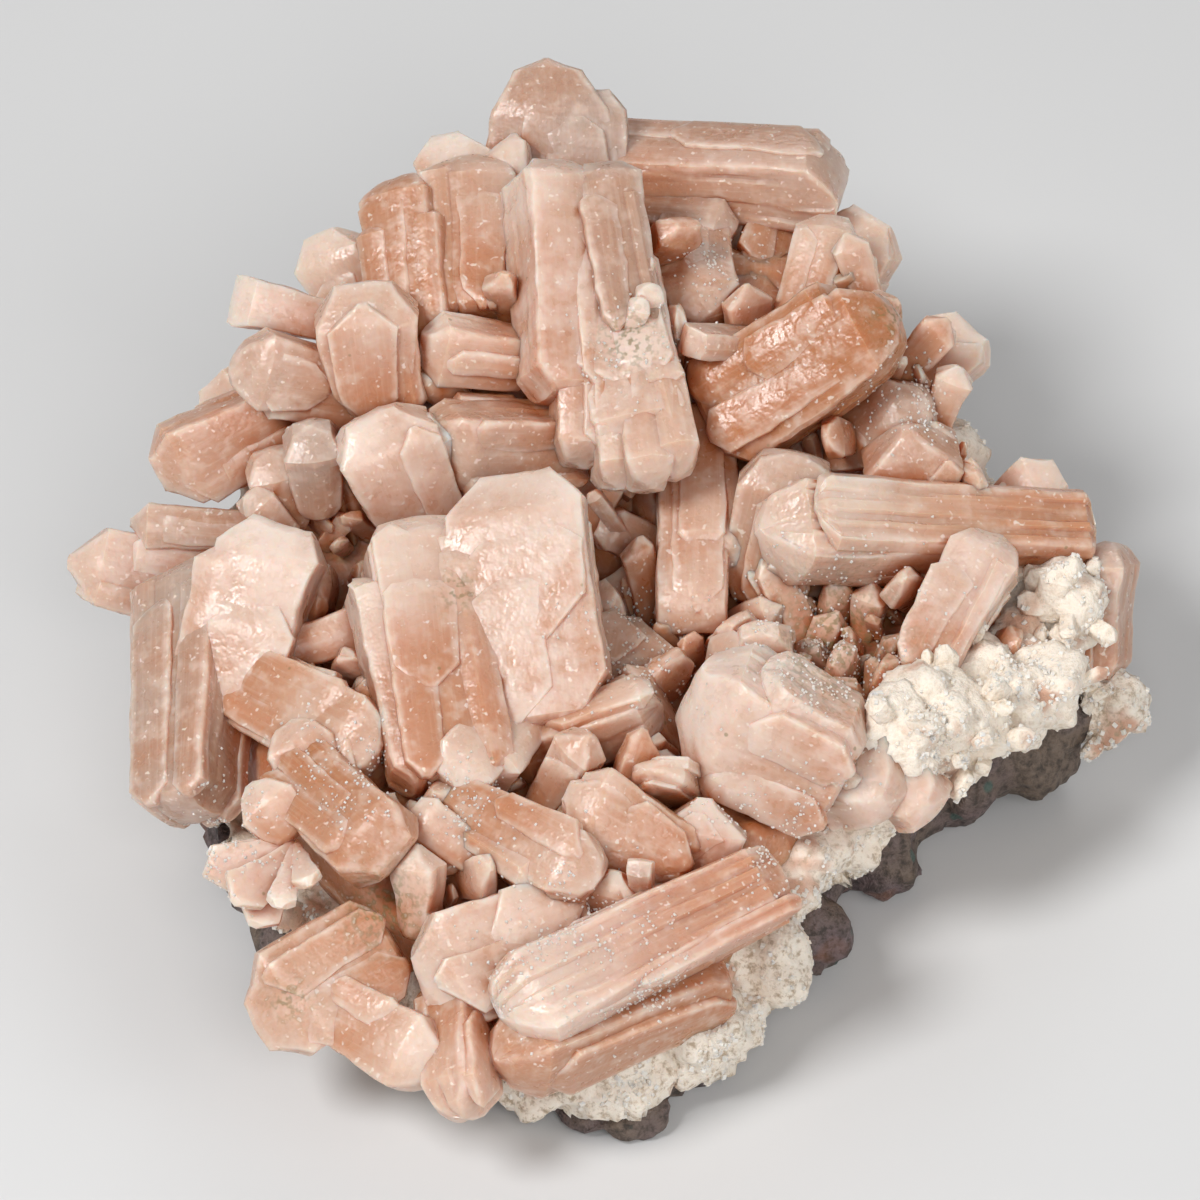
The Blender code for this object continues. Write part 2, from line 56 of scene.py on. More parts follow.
lens = bpy.data.cameras.new("best_side")
lens.sensor_width = 36.0
lens.lens = lens.sensor_width * SIGHT_DISTANCE / VIEW_WIDTH
lens.clip_end = 10.0
camera = bpy.data.objects.new("best_side", lens)
camera.location = (SIGHT_AIM + SIGHT_DISTANCE * TOWARDS - FOOTPRINT_MIDDLE) * MM
camera.rotation_euler = TOWARDS.to_track_quat("Z", "Y").to_euler()
bpy.context.scene.collection.objects.link(camera)
bpy.context.scene.camera = camera

# Host rock
# The piece of dark, pitted basalt that carries everything, broken from the wall of a cavity. It
# stands on its flat underside, and shows along the right and front edges.
ROCK_MIDDLE = Vector((0.0, -5.0))
ROCK_CORNERS = [
    (47.0, 3.0), (44.0, -2.0), (37.0, -5.5), (31.0, -9.0), (28.0, -14.5), (24.0, -17.0),
    (20.0, -26.0), (16.0, -30.0), (13.5, -37.0), (8.0, -45.0), (-9.5, -45.5), (-22.0, -36.0),
    (-31.0, -26.0), (-37.5, -15.0), (-40.5, -4.0), (-40.5, 7.0), (-35.0, 21.0), (-25.0, 33.0),
    (-11.0, 42.5), (9.0, 44.5), (23.0, 41.0), (34.0, 29.0), (42.0, 16.0),
]
# The surface that the crystals grow from: low in front, and rising to a ridge at the back.
SHELF_HEIGHT = 21.0
RIDGE_RISE, RIDGE_STARTS, RIDGE_RUN = 19.0, 2.0, 30.0
FRONT_FALL, FRONT_STARTS, FRONT_RUN = 9.0, -28.0, 20.0
SIDE_FALL, SIDE_STARTS, SIDE_RUN = 7.0, 30.0, 20.0
POCKETS = [((4.0, 11.0), 7.0, 6.0), ((16.0, 29.0), 5.0, 7.0)]


def outline_radius(bearing):
    """Distance from the rock's middle to its outline, along a bearing in radians."""
    spots = []
    for x, y in ROCK_CORNERS:
        out = Vector((x, y)) - ROCK_MIDDLE
        spots.append((math.atan2(out.y, out.x), out.length))
    spots.sort()
    turn = 2.0 * math.pi
    spots = [(spots[-1][0] - turn, spots[-1][1])] + spots + [(spots[0][0] + turn, spots[0][1])]
    for (start, near), (end, far) in zip(spots, spots[1:]):
        if start <= bearing <= end:
            return near + (far - near) * (bearing - start) / (end - start)
    return spots[0][1]


def smooth_step(value):
    """0 below 0, 1 above 1, and an even slope between."""
    value = min(max(value, 0.0), 1.0)
    return value * value * (3.0 - 2.0 * value)


def druse_height(x, y):
    """Height above the table of the surface that the crystals grow from."""
    height = SHELF_HEIGHT + RIDGE_RISE * smooth_step((y - RIDGE_STARTS) / RIDGE_RUN)
    height -= FRONT_FALL * smooth_step((FRONT_STARTS - y) / FRONT_RUN)
    height -= SIDE_FALL * smooth_step((abs(x) - SIDE_STARTS) / SIDE_RUN)
    for (middle_x, middle_y), radius, depth in POCKETS:
        away = math.hypot(x - middle_x, y - middle_y) / radius
        height -= depth * math.exp(-away * away)
    return height


def rough_copy(node, name, cell, reliefs, depth):
    """A closed, finely meshed copy of a solid that stays below the druse, with a rough skin."""
    source = bpy.data.objects[node]
    body = bpy.data.objects.new(name, source.data.copy())
    bpy.context.scene.collection.objects.link(body)
    shape = bmesh.new()
    shape.from_mesh(body.data)
    bmesh.ops.remove_doubles(shape, verts=shape.verts, dist=1e-7)
    shape.to_mesh(body.data)
    shape.free()
    voxels = body.modifiers.new("voxels", "REMESH")
    voxels.mode, voxels.voxel_size = "VOXEL", cell * MM
    evaluated = body.evaluated_get(bpy.context.evaluated_depsgraph_get())
    body.data = bpy.data.meshes.new_from_object(evaluated)
    body.modifiers.clear()
    mesh = body.data
    count = len(mesh.vertices)
    points = np.empty(count * 3)
    normals = np.empty(count * 3)
    mesh.vertices.foreach_get("co", points)
    mesh.vertices.foreach_get("normal", normals)
    points, normals = points.reshape(-1, 3) / MM, normals.reshape(-1, 3)
    for i, (point, normal) in enumerate(zip(points.tolist(), normals)):
        spot = Vector(point)
        move = 0.0
        for size, height, form in reliefs:
            if form == "popcorn":
                away = noise.voronoi(spot / size)[0][0]
                move += height * (0.5 - 1.6 * away * away)
            else:
                move += height * noise.noise(spot / size)
        points[i] += normal * move
        spot = Vector(points[i]) + FOOTPRINT_MIDDLE
        out = Vector((spot.x, spot.y)) - ROCK_MIDDLE
        share = out.length / outline_radius(math.atan2(out.y, out.x))
        limit = druse_height(spot.x, spot.y) - depth + 30.0 * smooth_step((share - 0.80) / 0.15)
        points[i, 2] = min(max(points[i, 2], 0.0), limit)
    mesh.vertices.foreach_set("co", (points * MM).ravel())
    mesh.shade_smooth()
    mesh.name = name
    return body


rock = rough_copy("matrix_rock", "host_rock", 0.9,
                  [(9.0, 2.0, "waves"), (4.0, 1.1, "popcorn"), (1.6, 0.5, "waves")], 6.0)


def linear(hex_colour):
    """An sRGB hex colour as linear values, with alpha."""
    parts = [int(hex_colour[i:i + 2], 16) / 255 for i in (1, 3, 5)]
    return [c / 12.92 if c <= 0.04045 else ((c + 0.055) / 1.055) ** 2.4 for c in parts] + [1.0]


def add_node(tree, kind, inputs=(), output=0, **settings):
    """Adds a node with its settings and links, and returns one of its outputs."""
    node = tree.nodes.new(kind)
    for name, value in settings.items():
        setattr(node, name, value)
    for name, value in dict(inputs).items():
        if isinstance(value, bpy.types.NodeSocket):
            tree.links.new(value, node.inputs[name])
        else:
            node.inputs[name].default_value = value
    return node.outputs[output]


# Weathered basalt: dark grey-brown and purple-grey, with rust stains and teal specks.
BASALT_BROWN = "#6E5D4F"
BASALT_PURPLE = "#6E5C5D"
BASALT_DARK = "#3A312B"
RUST = "#8F5A38"
TEAL = "#3C5A52"
PER_MM = 1.0 / MM
basalt = bpy.data.materials.new("weathered_basalt")
basalt.use_nodes = True
tree = basalt.node_tree
place = add_node(tree, "ShaderNodeTexCoord", output="Object")
clouds = add_node(tree, "ShaderNodeTexNoise", {"Vector": place, "Scale": 0.12 * PER_MM,
                                               "Detail": 2.0})
grains = add_node(tree, "ShaderNodeTexNoise", {"Vector": place, "Scale": 0.9 * PER_MM,
                                               "Detail": 3.0, "Roughness": 0.7})
specks = add_node(tree, "ShaderNodeTexVoronoi", {"Vector": place, "Scale": 0.22 * PER_MM})
shares = add_node(tree, "ShaderNodeMapRange", {"Value": clouds, "From Min": 0.4, "From Max": 0.6})
colour = add_node(tree, "ShaderNodeMix", {"Factor": shares, 6: linear(BASALT_BROWN),
                                          7: linear(BASALT_PURPLE)}, 2, data_type="RGBA")
dark = add_node(tree, "ShaderNodeMapRange", {"Value": grains, "From Min": 0.55, "From Max": 0.35,
                                             "To Max": 0.9})
colour = add_node(tree, "ShaderNodeMix", {"Factor": dark, 6: colour, 7: linear(BASALT_DARK)}, 2,
                  data_type="RGBA")
rust = add_node(tree, "ShaderNodeMapRange", {"Value": clouds, "From Min": 0.60, "From Max": 0.72,
                                             "To Max": 0.8})
colour = add_node(tree, "ShaderNodeMix", {"Factor": rust, 6: colour, 7: linear(RUST)}, 2,
                  data_type="RGBA")
teal = add_node(tree, "ShaderNodeMapRange", {"Value": specks, "From Min": 0.18, "From Max": 0.12,
                                             "To Max": 0.8})
colour = add_node(tree, "ShaderNodeMix", {"Factor": teal, 6: colour, 7: linear(TEAL)}, 2,
                  data_type="RGBA")
relief = add_node(tree, "ShaderNodeBump", {"Height": grains, "Distance": 0.8 * MM,
                                           "Strength": 0.8})
gloss = add_node(tree, "ShaderNodeMapRange", {"Value": grains, "From Min": 0.4, "From Max": 0.7,
                                              "To Min": 0.75, "To Max": 0.4})
shader = tree.nodes["Principled BSDF"]
tree.links.new(colour, shader.inputs["Base Color"])
tree.links.new(relief, shader.inputs["Normal"])
tree.links.new(gloss, shader.inputs["Roughness"])
shader.inputs["IOR"].default_value = 1.6

rock.data.materials.clear()
rock.data.materials.append(basalt)
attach(rock, "root")
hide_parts("matrix_rock")

# Granular crust
# The cream-white crust of tiny crystals that coated the rock first. It is grown fast to the rock,
# shows in a few gaps, and swells into lumps like popcorn along the front and right rim.
crust = rough_copy("pale_crust", "granular_crust", 0.65,
                   [(10.0, 3.5, "waves"), (5.0, 1.5, "popcorn"), (3.0, 1.2, "waves"),
                    (2.0, 0.8, "popcorn"), (1.0, 0.5, "waves")], 2.5)

# Frosty crust: cream white, with grey-brown pits and orange patches, and painted shade in its
# hollows.
CRUST_WHITE = "#FAF2E7"
CRUST_CREAM = "#F0DFCB"
CRUST_PITS_AND_SHADE = "#B09A80"
CRUST_ORANGE = "#C07C55"
frosty = bpy.data.materials.new("frosty_crust")
frosty.use_nodes = True
tree = frosty.node_tree
place = add_node(tree, "ShaderNodeTexCoord", output="Object")
shelter = add_node(tree, "ShaderNodeAttribute", output="Fac", attribute_name="shelter")
clouds = add_node(tree, "ShaderNodeTexNoise", {"Vector": place, "Scale": 0.16 * PER_MM,
                                               "Detail": 2.0, "Roughness": 0.6})
grains = add_node(tree, "ShaderNodeTexNoise", {"Vector": place, "Scale": 1.1 * PER_MM,
                                               "Detail": 3.0, "Roughness": 0.7})
colour = add_node(tree, "ShaderNodeMix", {"Factor": grains, 6: linear(CRUST_CREAM),
                                          7: linear(CRUST_WHITE)}, 2, data_type="RGBA")
orange = add_node(tree, "ShaderNodeMapRange", {"Value": clouds, "From Min": 0.55,
                                               "From Max": 0.70, "To Max": 0.7},
                  interpolation_type="SMOOTHSTEP")
colour = add_node(tree, "ShaderNodeMix", {"Factor": orange, 6: colour, 7: linear(CRUST_ORANGE)}, 2,
                  data_type="RGBA")
height = add_node(tree, "ShaderNodeSeparateXYZ", {0: place}, 2)
low = add_node(tree, "ShaderNodeMapRange", {"Value": height, "From Min": 20.0 * MM,
                                            "From Max": 11.0 * MM, "To Min": 0.35})
pits = add_node(tree, "ShaderNodeMapRange", {"Value": grains, "From Min": 0.50, "From Max": 0.34,
                                             "To Max": 0.85})
pits = add_node(tree, "ShaderNodeMath", {0: pits, 1: low}, operation="MULTIPLY")
colour = add_node(tree, "ShaderNodeMix", {"Factor": pits, 6: colour, 7: linear(CRUST_PITS_AND_SHADE)}, 2,
                  data_type="RGBA")
# Painted shade: hollows that are more covered are painted darker, in the pit colour.
painted_hollow_shade = add_node(tree, "ShaderNodeMapRange", {"Value": shelter, "From Min": 0.55,
                                                "From Max": 1.0, "To Max": 0.25})
colour = add_node(tree, "ShaderNodeMix", {"Factor": painted_hollow_shade, 6: colour, 7: linear(CRUST_PITS_AND_SHADE)}, 2,
                  data_type="RGBA")
relief = add_node(tree, "ShaderNodeBump", {"Height": grains, "Distance": 0.5 * MM,
                                           "Strength": 0.7})
shader = tree.nodes["Principled BSDF"]
tree.links.new(colour, shader.inputs["Base Color"])
tree.links.new(relief, shader.inputs["Normal"])
shader.inputs["Roughness"].default_value = 0.75
shader.inputs["IOR"].default_value = 1.5
shader.inputs["Subsurface Weight"].default_value = 0.3
shader.inputs["Subsurface Radius"].default_value = (1.0, 0.8, 0.62)
shader.inputs["Subsurface Scale"].default_value = 1.2 * MM

crust.data.materials.clear()
crust.data.materials.append(frosty)
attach(crust, "root")
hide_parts("pale_crust")

# Druse layer
# The skin of first stilbite crystals, grown together over the crust. Everything larger is rooted in
# it, and it is deep orange where it shows between them: partly its own colour, partly painted
# shade.
DRUSE_REACH = 0.95
DRUSE_THICKNESS = 4.2
RIM_THICKER = 6.0
DRUSE_LUMPS = 1.1
RINGS, BEARINGS = 44, 190

# Translucent, waxy to pearly stilbite: salmon where it is rooted, peach, frosted at its tips;
# painted shade in crevices, painted sheen and glints.
ROOT = "#C58E6E"
PEACH = "#D4AA8F"
PINK_PEACH = "#D0A491"
TIP = "#E3CFC0"
PEARL_SHEEN_AND_GLINTS = "#EEDFD5"
GREYISH = "#B59C8D"
DEEP_AND_SHADE = "#BA7F59"
PAINTED_SHADE_ORANGE = "#AE6439"
DIRT = "#7F7348"

stilbite = bpy.data.materials.new("stilbite_waxy_peach")
stilbite.use_nodes = True
tree = stilbite.node_tree
place = add_node(tree, "ShaderNodeTexCoord", output="Object")
grain = add_node(tree, "ShaderNodeAttribute", output="Vector", attribute_name="grain")
growth = add_node(tree, "ShaderNodeAttribute", output="Vector", attribute_name="growth")
growth = add_node(tree, "ShaderNodeSeparateXYZ", {0: growth}).node.outputs
tone = add_node(tree, "ShaderNodeAttribute", output="Vector", attribute_name="tone")
tone = add_node(tree, "ShaderNodeSeparateXYZ", {0: tone}).node.outputs
shelter = add_node(tree, "ShaderNodeAttribute", output="Fac", attribute_name="shelter")
stain = add_node(tree, "ShaderNodeAttribute", output="Fac", attribute_name="stain")
# Patterns: silky streaks along each blade, soft clouds, frost, and small flecks.
streak_place = add_node(tree, "ShaderNodeVectorMath", {0: grain, 1: (2.6, 0.10, 2.6)},
                        operation="MULTIPLY")
streaks = add_node(tree, "ShaderNodeTexNoise", {"Vector": streak_place, "Scale": 1.0,
                                                "Detail": 2.0, "Roughness": 0.62})
clouds = add_node(tree, "ShaderNodeTexNoise", {"Vector": place, "Scale": 0.11 * PER_MM,
                                               "Detail": 1.0})
frost = add_node(tree, "ShaderNodeTexNoise", {"Vector": place, "Scale": 0.45 * PER_MM,
                                              "Detail": 2.5, "Roughness": 0.65})
flecks = add_node(tree, "ShaderNodeTexNoise", {"Vector": place, "Scale": 1.5 * PER_MM,
                                               "Detail": 1.0, "Roughness": 0.6})
specks = add_node(tree, "ShaderNodeTexVoronoi", {"Vector": place, "Scale": 0.17 * PER_MM})
# Colour along the crystal, from its root to its tip.
colour = add_node(tree, "ShaderNodeMix", {"Factor": growth[2], 6: linear(PEACH),
                                          7: linear(PINK_PEACH)}, 2, data_type="RGBA")
rooted = add_node(tree, "ShaderNodeMapRange", {"Value": growth[0], "From Min": 0.7,
                                               "From Max": 0.1, "To Max": 0.75},
                  interpolation_type="SMOOTHSTEP")
colour = add_node(tree, "ShaderNodeMix", {"Factor": rooted, 6: colour, 7: linear(ROOT)}, 2,
                  data_type="RGBA")
tipped = add_node(tree, "ShaderNodeMapRange", {"Value": growth[0], "From Min": 0.35,
                                               "From Max": 1.0, "To Max": 0.95},
                  interpolation_type="SMOOTHSTEP")
colour = add_node(tree, "ShaderNodeMix", {"Factor": tipped, 6: colour, 7: linear(TIP)}, 2,
                  data_type="RGBA")
# Pearly, clear and deep-coloured crystals. The deep colour is partly painted shade, and wholly so
# for the darkest tone.
frosted = add_node(tree, "ShaderNodeMapRange", {"Value": frost, "From Min": 0.3, "From Max": 0.6,
                                                "To Min": 0.3, "To Max": 0.9},
                   interpolation_type="SMOOTHSTEP")
pearly = add_node(tree, "ShaderNodeMath", {0: tone[0], 1: frosted}, operation="MULTIPLY")
colour = add_node(tree, "ShaderNodeMix", {"Factor": pearly, 6: colour, 7: linear(PEARL_SHEEN_AND_GLINTS)}, 2,
                  data_type="RGBA")
colour = add_node(tree, "ShaderNodeMix", {"Factor": tone[1], 6: colour, 7: linear(GREYISH)}, 2,
                  data_type="RGBA")
colour = add_node(tree, "ShaderNodeMix", {"Factor": tone[2], 6: colour, 7: linear(DEEP_AND_SHADE)}, 2,
                  data_type="RGBA")
cloudy = add_node(tree, "ShaderNodeMapRange", {"Value": clouds, "From Min": 0.35,
                                               "From Max": 0.7, "To Max": 0.42},
                  interpolation_type="SMOOTHSTEP")
colour = add_node(tree, "ShaderNodeMix", {"Factor": cloudy, 6: colour, 7: linear(DEEP_AND_SHADE)}, 2,
                  data_type="RGBA")
milky = add_node(tree, "ShaderNodeMapRange", {"Value": frost, "From Min": 0.48, "From Max": 0.72,
                                              "To Max": 0.4}, interpolation_type="SMOOTHSTEP")
colour = add_node(tree, "ShaderNodeMix", {"Factor": milky, 6: colour, 7: linear(TIP)}, 2,
                  data_type="RGBA")
# Pale and deep streaks, rims painted pale as sheen, flecks painted pale as glints, painted shade in
# crevices, and dark specks.
pale_streaks = add_node(tree, "ShaderNodeMapRange", {"Value": streaks, "From Min": 0.48,
                                                     "From Max": 0.72, "To Max": 0.16},
                        interpolation_type="SMOOTHSTEP")
colour = add_node(tree, "ShaderNodeMix", {"Factor": pale_streaks, 6: colour, 7: linear(TIP)}, 2,
                  data_type="RGBA")
deep_streaks = add_node(tree, "ShaderNodeMapRange", {"Value": streaks, "From Min": 0.46,
                                                     "From Max": 0.25, "To Max": 0.10},
                        interpolation_type="SMOOTHSTEP")
colour = add_node(tree, "ShaderNodeMix", {"Factor": deep_streaks, 6: colour, 7: linear(DEEP_AND_SHADE)}, 2,
                  data_type="RGBA")
# Painted sheen: near its edges a crystal is painted pale, as if lit through its thin rims.
painted_rim_sheen = add_node(tree, "ShaderNodeMapRange", {"Value": growth[1], "From Min": 0.6, "From Max": 0.0,
                                             "To Max": 0.4})
painted_rim_sheen = add_node(tree, "ShaderNodeMath", {0: painted_rim_sheen, 1: frosted}, operation="MULTIPLY")
colour = add_node(tree, "ShaderNodeMix", {"Factor": painted_rim_sheen, 6: colour, 7: linear(PEARL_SHEEN_AND_GLINTS)}, 2,
                  data_type="RGBA")
# Painted glints: small flecks are painted pale.
painted_glints = add_node(tree, "ShaderNodeMapRange", {"Value": flecks, "From Min": 0.66,
                                                    "From Max": 0.74, "To Max": 0.7})
colour = add_node(tree, "ShaderNodeMix", {"Factor": painted_glints, 6: colour, 7: linear(PEARL_SHEEN_AND_GLINTS)}, 2,
                  data_type="RGBA")
# Painted shade: the more of its sky a point has covered, the more it is painted deep orange.
painted_shade_mask = add_node(tree, "ShaderNodeMapRange", {"Value": shelter, "From Min": 0.30,
                                                  "From Max": 0.92, "To Max": 0.97})
colour = add_node(tree, "ShaderNodeMix", {"Factor": painted_shade_mask, 6: colour, 7: linear(PAINTED_SHADE_ORANGE)}, 2,
                  data_type="RGBA")
dark_specks = add_node(tree, "ShaderNodeMapRange", {"Value": specks, "From Min": 0.045,
                                                    "From Max": 0.025, "To Max": 0.6})
dirt = add_node(tree, "ShaderNodeMapRange", {"Value": flecks, "From Min": 0.48, "From Max": 0.62,
                                             "To Max": 0.7})
dirt = add_node(tree, "ShaderNodeMath", {0: dirt, 1: stain}, operation="MULTIPLY")
dirt = add_node(tree, "ShaderNodeMath", {0: dirt, 1: dark_specks}, operation="MAXIMUM")
colour = add_node(tree, "ShaderNodeMix", {"Factor": dirt, 6: colour, 7: linear(DIRT)}, 2,
                  data_type="RGBA")
# Relief: a slightly uneven face with fine striations and pits.
relief = add_node(tree, "ShaderNodeBump", {"Height": frost, "Distance": 0.35 * MM,
                                           "Strength": 0.5})
relief = add_node(tree, "ShaderNodeBump", {"Height": flecks, "Distance": 0.12 * MM,
                                           "Strength": 0.6, "Normal": relief})
gloss = add_node(tree, "ShaderNodeMapRange", {"Value": frost, "From Min": 0.3, "From Max": 0.7,
                                              "To Min": 0.22, "To Max": 0.45})
shader = tree.nodes["Principled BSDF"]
tree.links.new(colour, shader.inputs["Base Color"])
tree.links.new(relief, shader.inputs["Normal"])
tree.links.new(gloss, shader.inputs["Roughness"])
shader.inputs["IOR"].default_value = 1.5
shader.inputs["Subsurface Weight"].default_value = 0.95
shader.inputs["Subsurface Radius"].default_value = (1.0, 0.58, 0.40)
shader.inputs["Subsurface Scale"].default_value = 3.0 * MM


def mesh_from(name, points, faces, attributes):
    """A mesh from points in millimetres, with vector attributes stored at its face corners."""
    mesh = bpy.data.meshes.new(name)
    moved = (points - np.array(FOOTPRINT_MIDDLE)) * MM
    mesh.from_pydata(moved, [], faces)
    corners = np.empty(len(mesh.loops), dtype=np.int32)
    mesh.loops.foreach_get("vertex_index", corners)
    for key, values in attributes.items():
        layer = mesh.attributes.new(key, "FLOAT_VECTOR", "CORNER")
        layer.data.foreach_set("vector", values[corners].astype(np.float32).ravel())
    return mesh


druse_points, druse_faces = [(*ROCK_MIDDLE, druse_height(*ROCK_MIDDLE))], []
for side in (0, 1):
    for ring in range(1, RINGS + 1):
        share = ring / RINGS
        for step in range(BEARINGS):
            bearing = 2.0 * math.pi * step / BEARINGS - math.pi
            out = DRUSE_REACH * share * outline_radius(bearing)
            x = ROCK_MIDDLE.x + out * math.cos(bearing)
            y = ROCK_MIDDLE.y + out * math.sin(bearing)
            lump = noise.noise(Vector((x, y, 0.0)) / 3.1)
            lump += 0.5 * noise.noise(Vector((x, y, 9.0)) / 1.3)
            top = druse_height(x, y) + DRUSE_LUMPS * lump
            rim = math.sqrt(max(0.0, 1.0 - share ** 24))
            thick = DRUSE_THICKNESS + RIM_THICKER * smooth_step((share - 0.7) / 0.2)
            druse_points.append((x, y, top - thick * (0.5 - 0.5 * rim if side == 0
                                                      else 0.5 + 0.5 * rim)))
druse_points.append((*ROCK_MIDDLE, druse_height(*ROCK_MIDDLE) - DRUSE_THICKNESS))
druse_points = np.array(druse_points)
upper = 1 + np.arange(RINGS * BEARINGS).reshape(RINGS, BEARINGS)
lower = upper + RINGS * BEARINGS
for step in range(BEARINGS):
    after = (step + 1) % BEARINGS
    druse_faces.append([0, upper[0, step], upper[0, after]])
    druse_faces.append([len(druse_points) - 1, lower[0, after], lower[0, step]])
    for ring in range(RINGS - 1):
        druse_faces.append([upper[ring, step], upper[ring + 1, step], upper[ring + 1, after],
                            upper[ring, after]])
        druse_faces.append([lower[ring, step], lower[ring, after], lower[ring + 1, after],
                            lower[ring + 1, step]])
    druse_faces.append([upper[-1, step], lower[-1, step], lower[-1, after], upper[-1, after]])
druse_faces = [[int(corner) for corner in face] for face in druse_faces]
everywhere = np.ones((len(druse_points), 1))
# The druse's deep tone is partly painted shade for the gaps between the crystals.
druse_mesh = mesh_from("druse_layer", druse_points, druse_faces, {
    "grain": druse_points, "growth": everywhere * (0.2, 1.0, 0.5),
    "tone": everywhere * (0.0, 0.0, 0.6)})
druse_mesh.shade_smooth()
druse_mesh.materials.append(stilbite)
druse = bpy.data.objects.new("druse_layer", druse_mesh)
bpy.context.scene.collection.objects.link(druse)
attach(druse, "root")
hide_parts("stilbite_crystals")

# Crown
# The tall stilbite sheaves along the ridge. Each grew out of the druse as a bundle of thin blades,
# with pearly broad faces, ribbed edges and a stepped end. The largest one's foot opens into
# rounded fingers.
# Outline of a blade's end: (share of half the width, distance below the tip over half the width).
ENDS = {
    "peak": [(-1.0, 0.75), (-0.15, 0.0), (0.15, 0.0), (1.0, 0.75)],
    "blunt": [(-1.0, 0.6), (-0.5, 0.0), (0.5, 0.0), (1.0, 0.6)],
    "square": [(-1.0, 0.15), (-0.85, 0.0), (0.85, 0.0), (1.0, 0.15)],
    "left": [(-1.0, 0.5), (-0.6, 0.0), (-0.25, 0.0), (1.0, 1.0)],
    "right": [(-1.0, 1.0), (0.25, 0.0), (0.6, 0.0), (1.0, 0.5)],
    "round": [(-1.0, 0.8), (-0.62, 0.15), (-0.12, 0.0), (0.12, 0.0), (0.62, 0.15), (1.0, 0.8)],
}
# How pearly, how clear and how deep in colour a crystal is, from 0 to 1. The darkest tone is
# painted shade, for a crystal that lies in shade, and the deep tone is partly painted shade.
TONES = {
    "peach": (0.0, 0.0, 0.0),
    "pearl": (0.6, 0.0, 0.0),
    "pale": (0.45, 0.0, 0.0),
    "clear": (0.1, 0.8, 0.0),
    "grey": (0.0, 0.45, 0.2),
    "deep": (0.0, 0.0, 0.8),
    "warm": (0.0, 0.0, 0.35),
    "painted_shade": (0.0, 0.0, 1.0),
}
END_STEPS = (0.0, 0.15, 0.5, 1.0)
FACE_STEP = 1.3
WALL_STEP = 0.42
LENS = 0.18
SWELL = 0.035
LOBE_DEPTH = 0.12
THINNEST_PLATE, THICKEST_PLATE = 0.5, 1.4
ROOT_DEPTH = 2.5
ARC = (math.radians(30.0), math.radians(60.0))
SHARPEST_ROUND = math.radians(32.0)
TERRACE_ENDS = ("peak", "blunt", "left", "right")

rng = random.Random(11)
blades = []


def seen(across, up, stand_off):
    """The point that shows at (across, up) from the best side, off the growing surface."""
    eye = SIGHT_AIM + SIGHT_DISTANCE * TOWARDS
    ray = (SIGHT_AIM + across * ACROSS + up * UPWARD - eye).normalized()
    above = (70.0 - eye.z) / ray.z
    below = (0.0 - eye.z) / ray.z
    for _ in range(30):
        middle = (above + below) / 2
        spot = eye + middle * ray
        if spot.z > druse_height(spot.x, spot.y):
            above = middle
        else:
            below = middle
    return eye + (above - stand_off) * ray


def waves(x, y, pace, seeds):
    """A smooth random surface over x and y, from -1 to 1, that repeats about every `pace`."""
    total = 0.0
    for seed in seeds:
        turn, phase = 6.28 * seed, 40.0 * seed
        own_pace = pace * (0.7 + 0.6 * seed)
        total = total + np.sin((x * math.cos(turn) + y * math.sin(turn)) * 6.28 / own_pace + phase)
    return total / len(seeds)


def section_loop(width, thick):
    """Points round a crystal: place on its flat parts, direction of its rounded corners."""
    columns = np.linspace(-1.0, 1.0, max(3, round(width / FACE_STEP) + 1))
    walls = np.linspace(1.0, -1.0, max(3, round(thick / WALL_STEP) + 1))
    loop = [(u, 1.0, 0.0, 1.0) for u in columns]
    loop += [(1.0, 1.0, math.sin(a), math.cos(a)) for a in ARC]
    loop += [(1.0, v, 1.0, 0.0) for v in walls]
    loop += [(1.0, -1.0, math.cos(a), -math.sin(a)) for a in ARC]
    loop += [(-u, -1.0, 0.0, -1.0) for u in columns]
    loop += [(-1.0, -1.0, -math.sin(a), -math.cos(a)) for a in ARC]
    loop += [(-1.0, -v, -1.0, 0.0) for v in walls]
    loop += [(-1.0, 1.0, -math.cos(a), math.sin(a)) for a in ARC]
    sides = len(columns), len(walls) + 2 * len(ARC)
    ends = list(range(sides[0])) + [sides[0] - 1] * sides[1]
    ends += list(range(sides[0] - 1, -1, -1)) + [0] * sides[1]
    return np.array(loop).T, np.array(ends), sides[0]


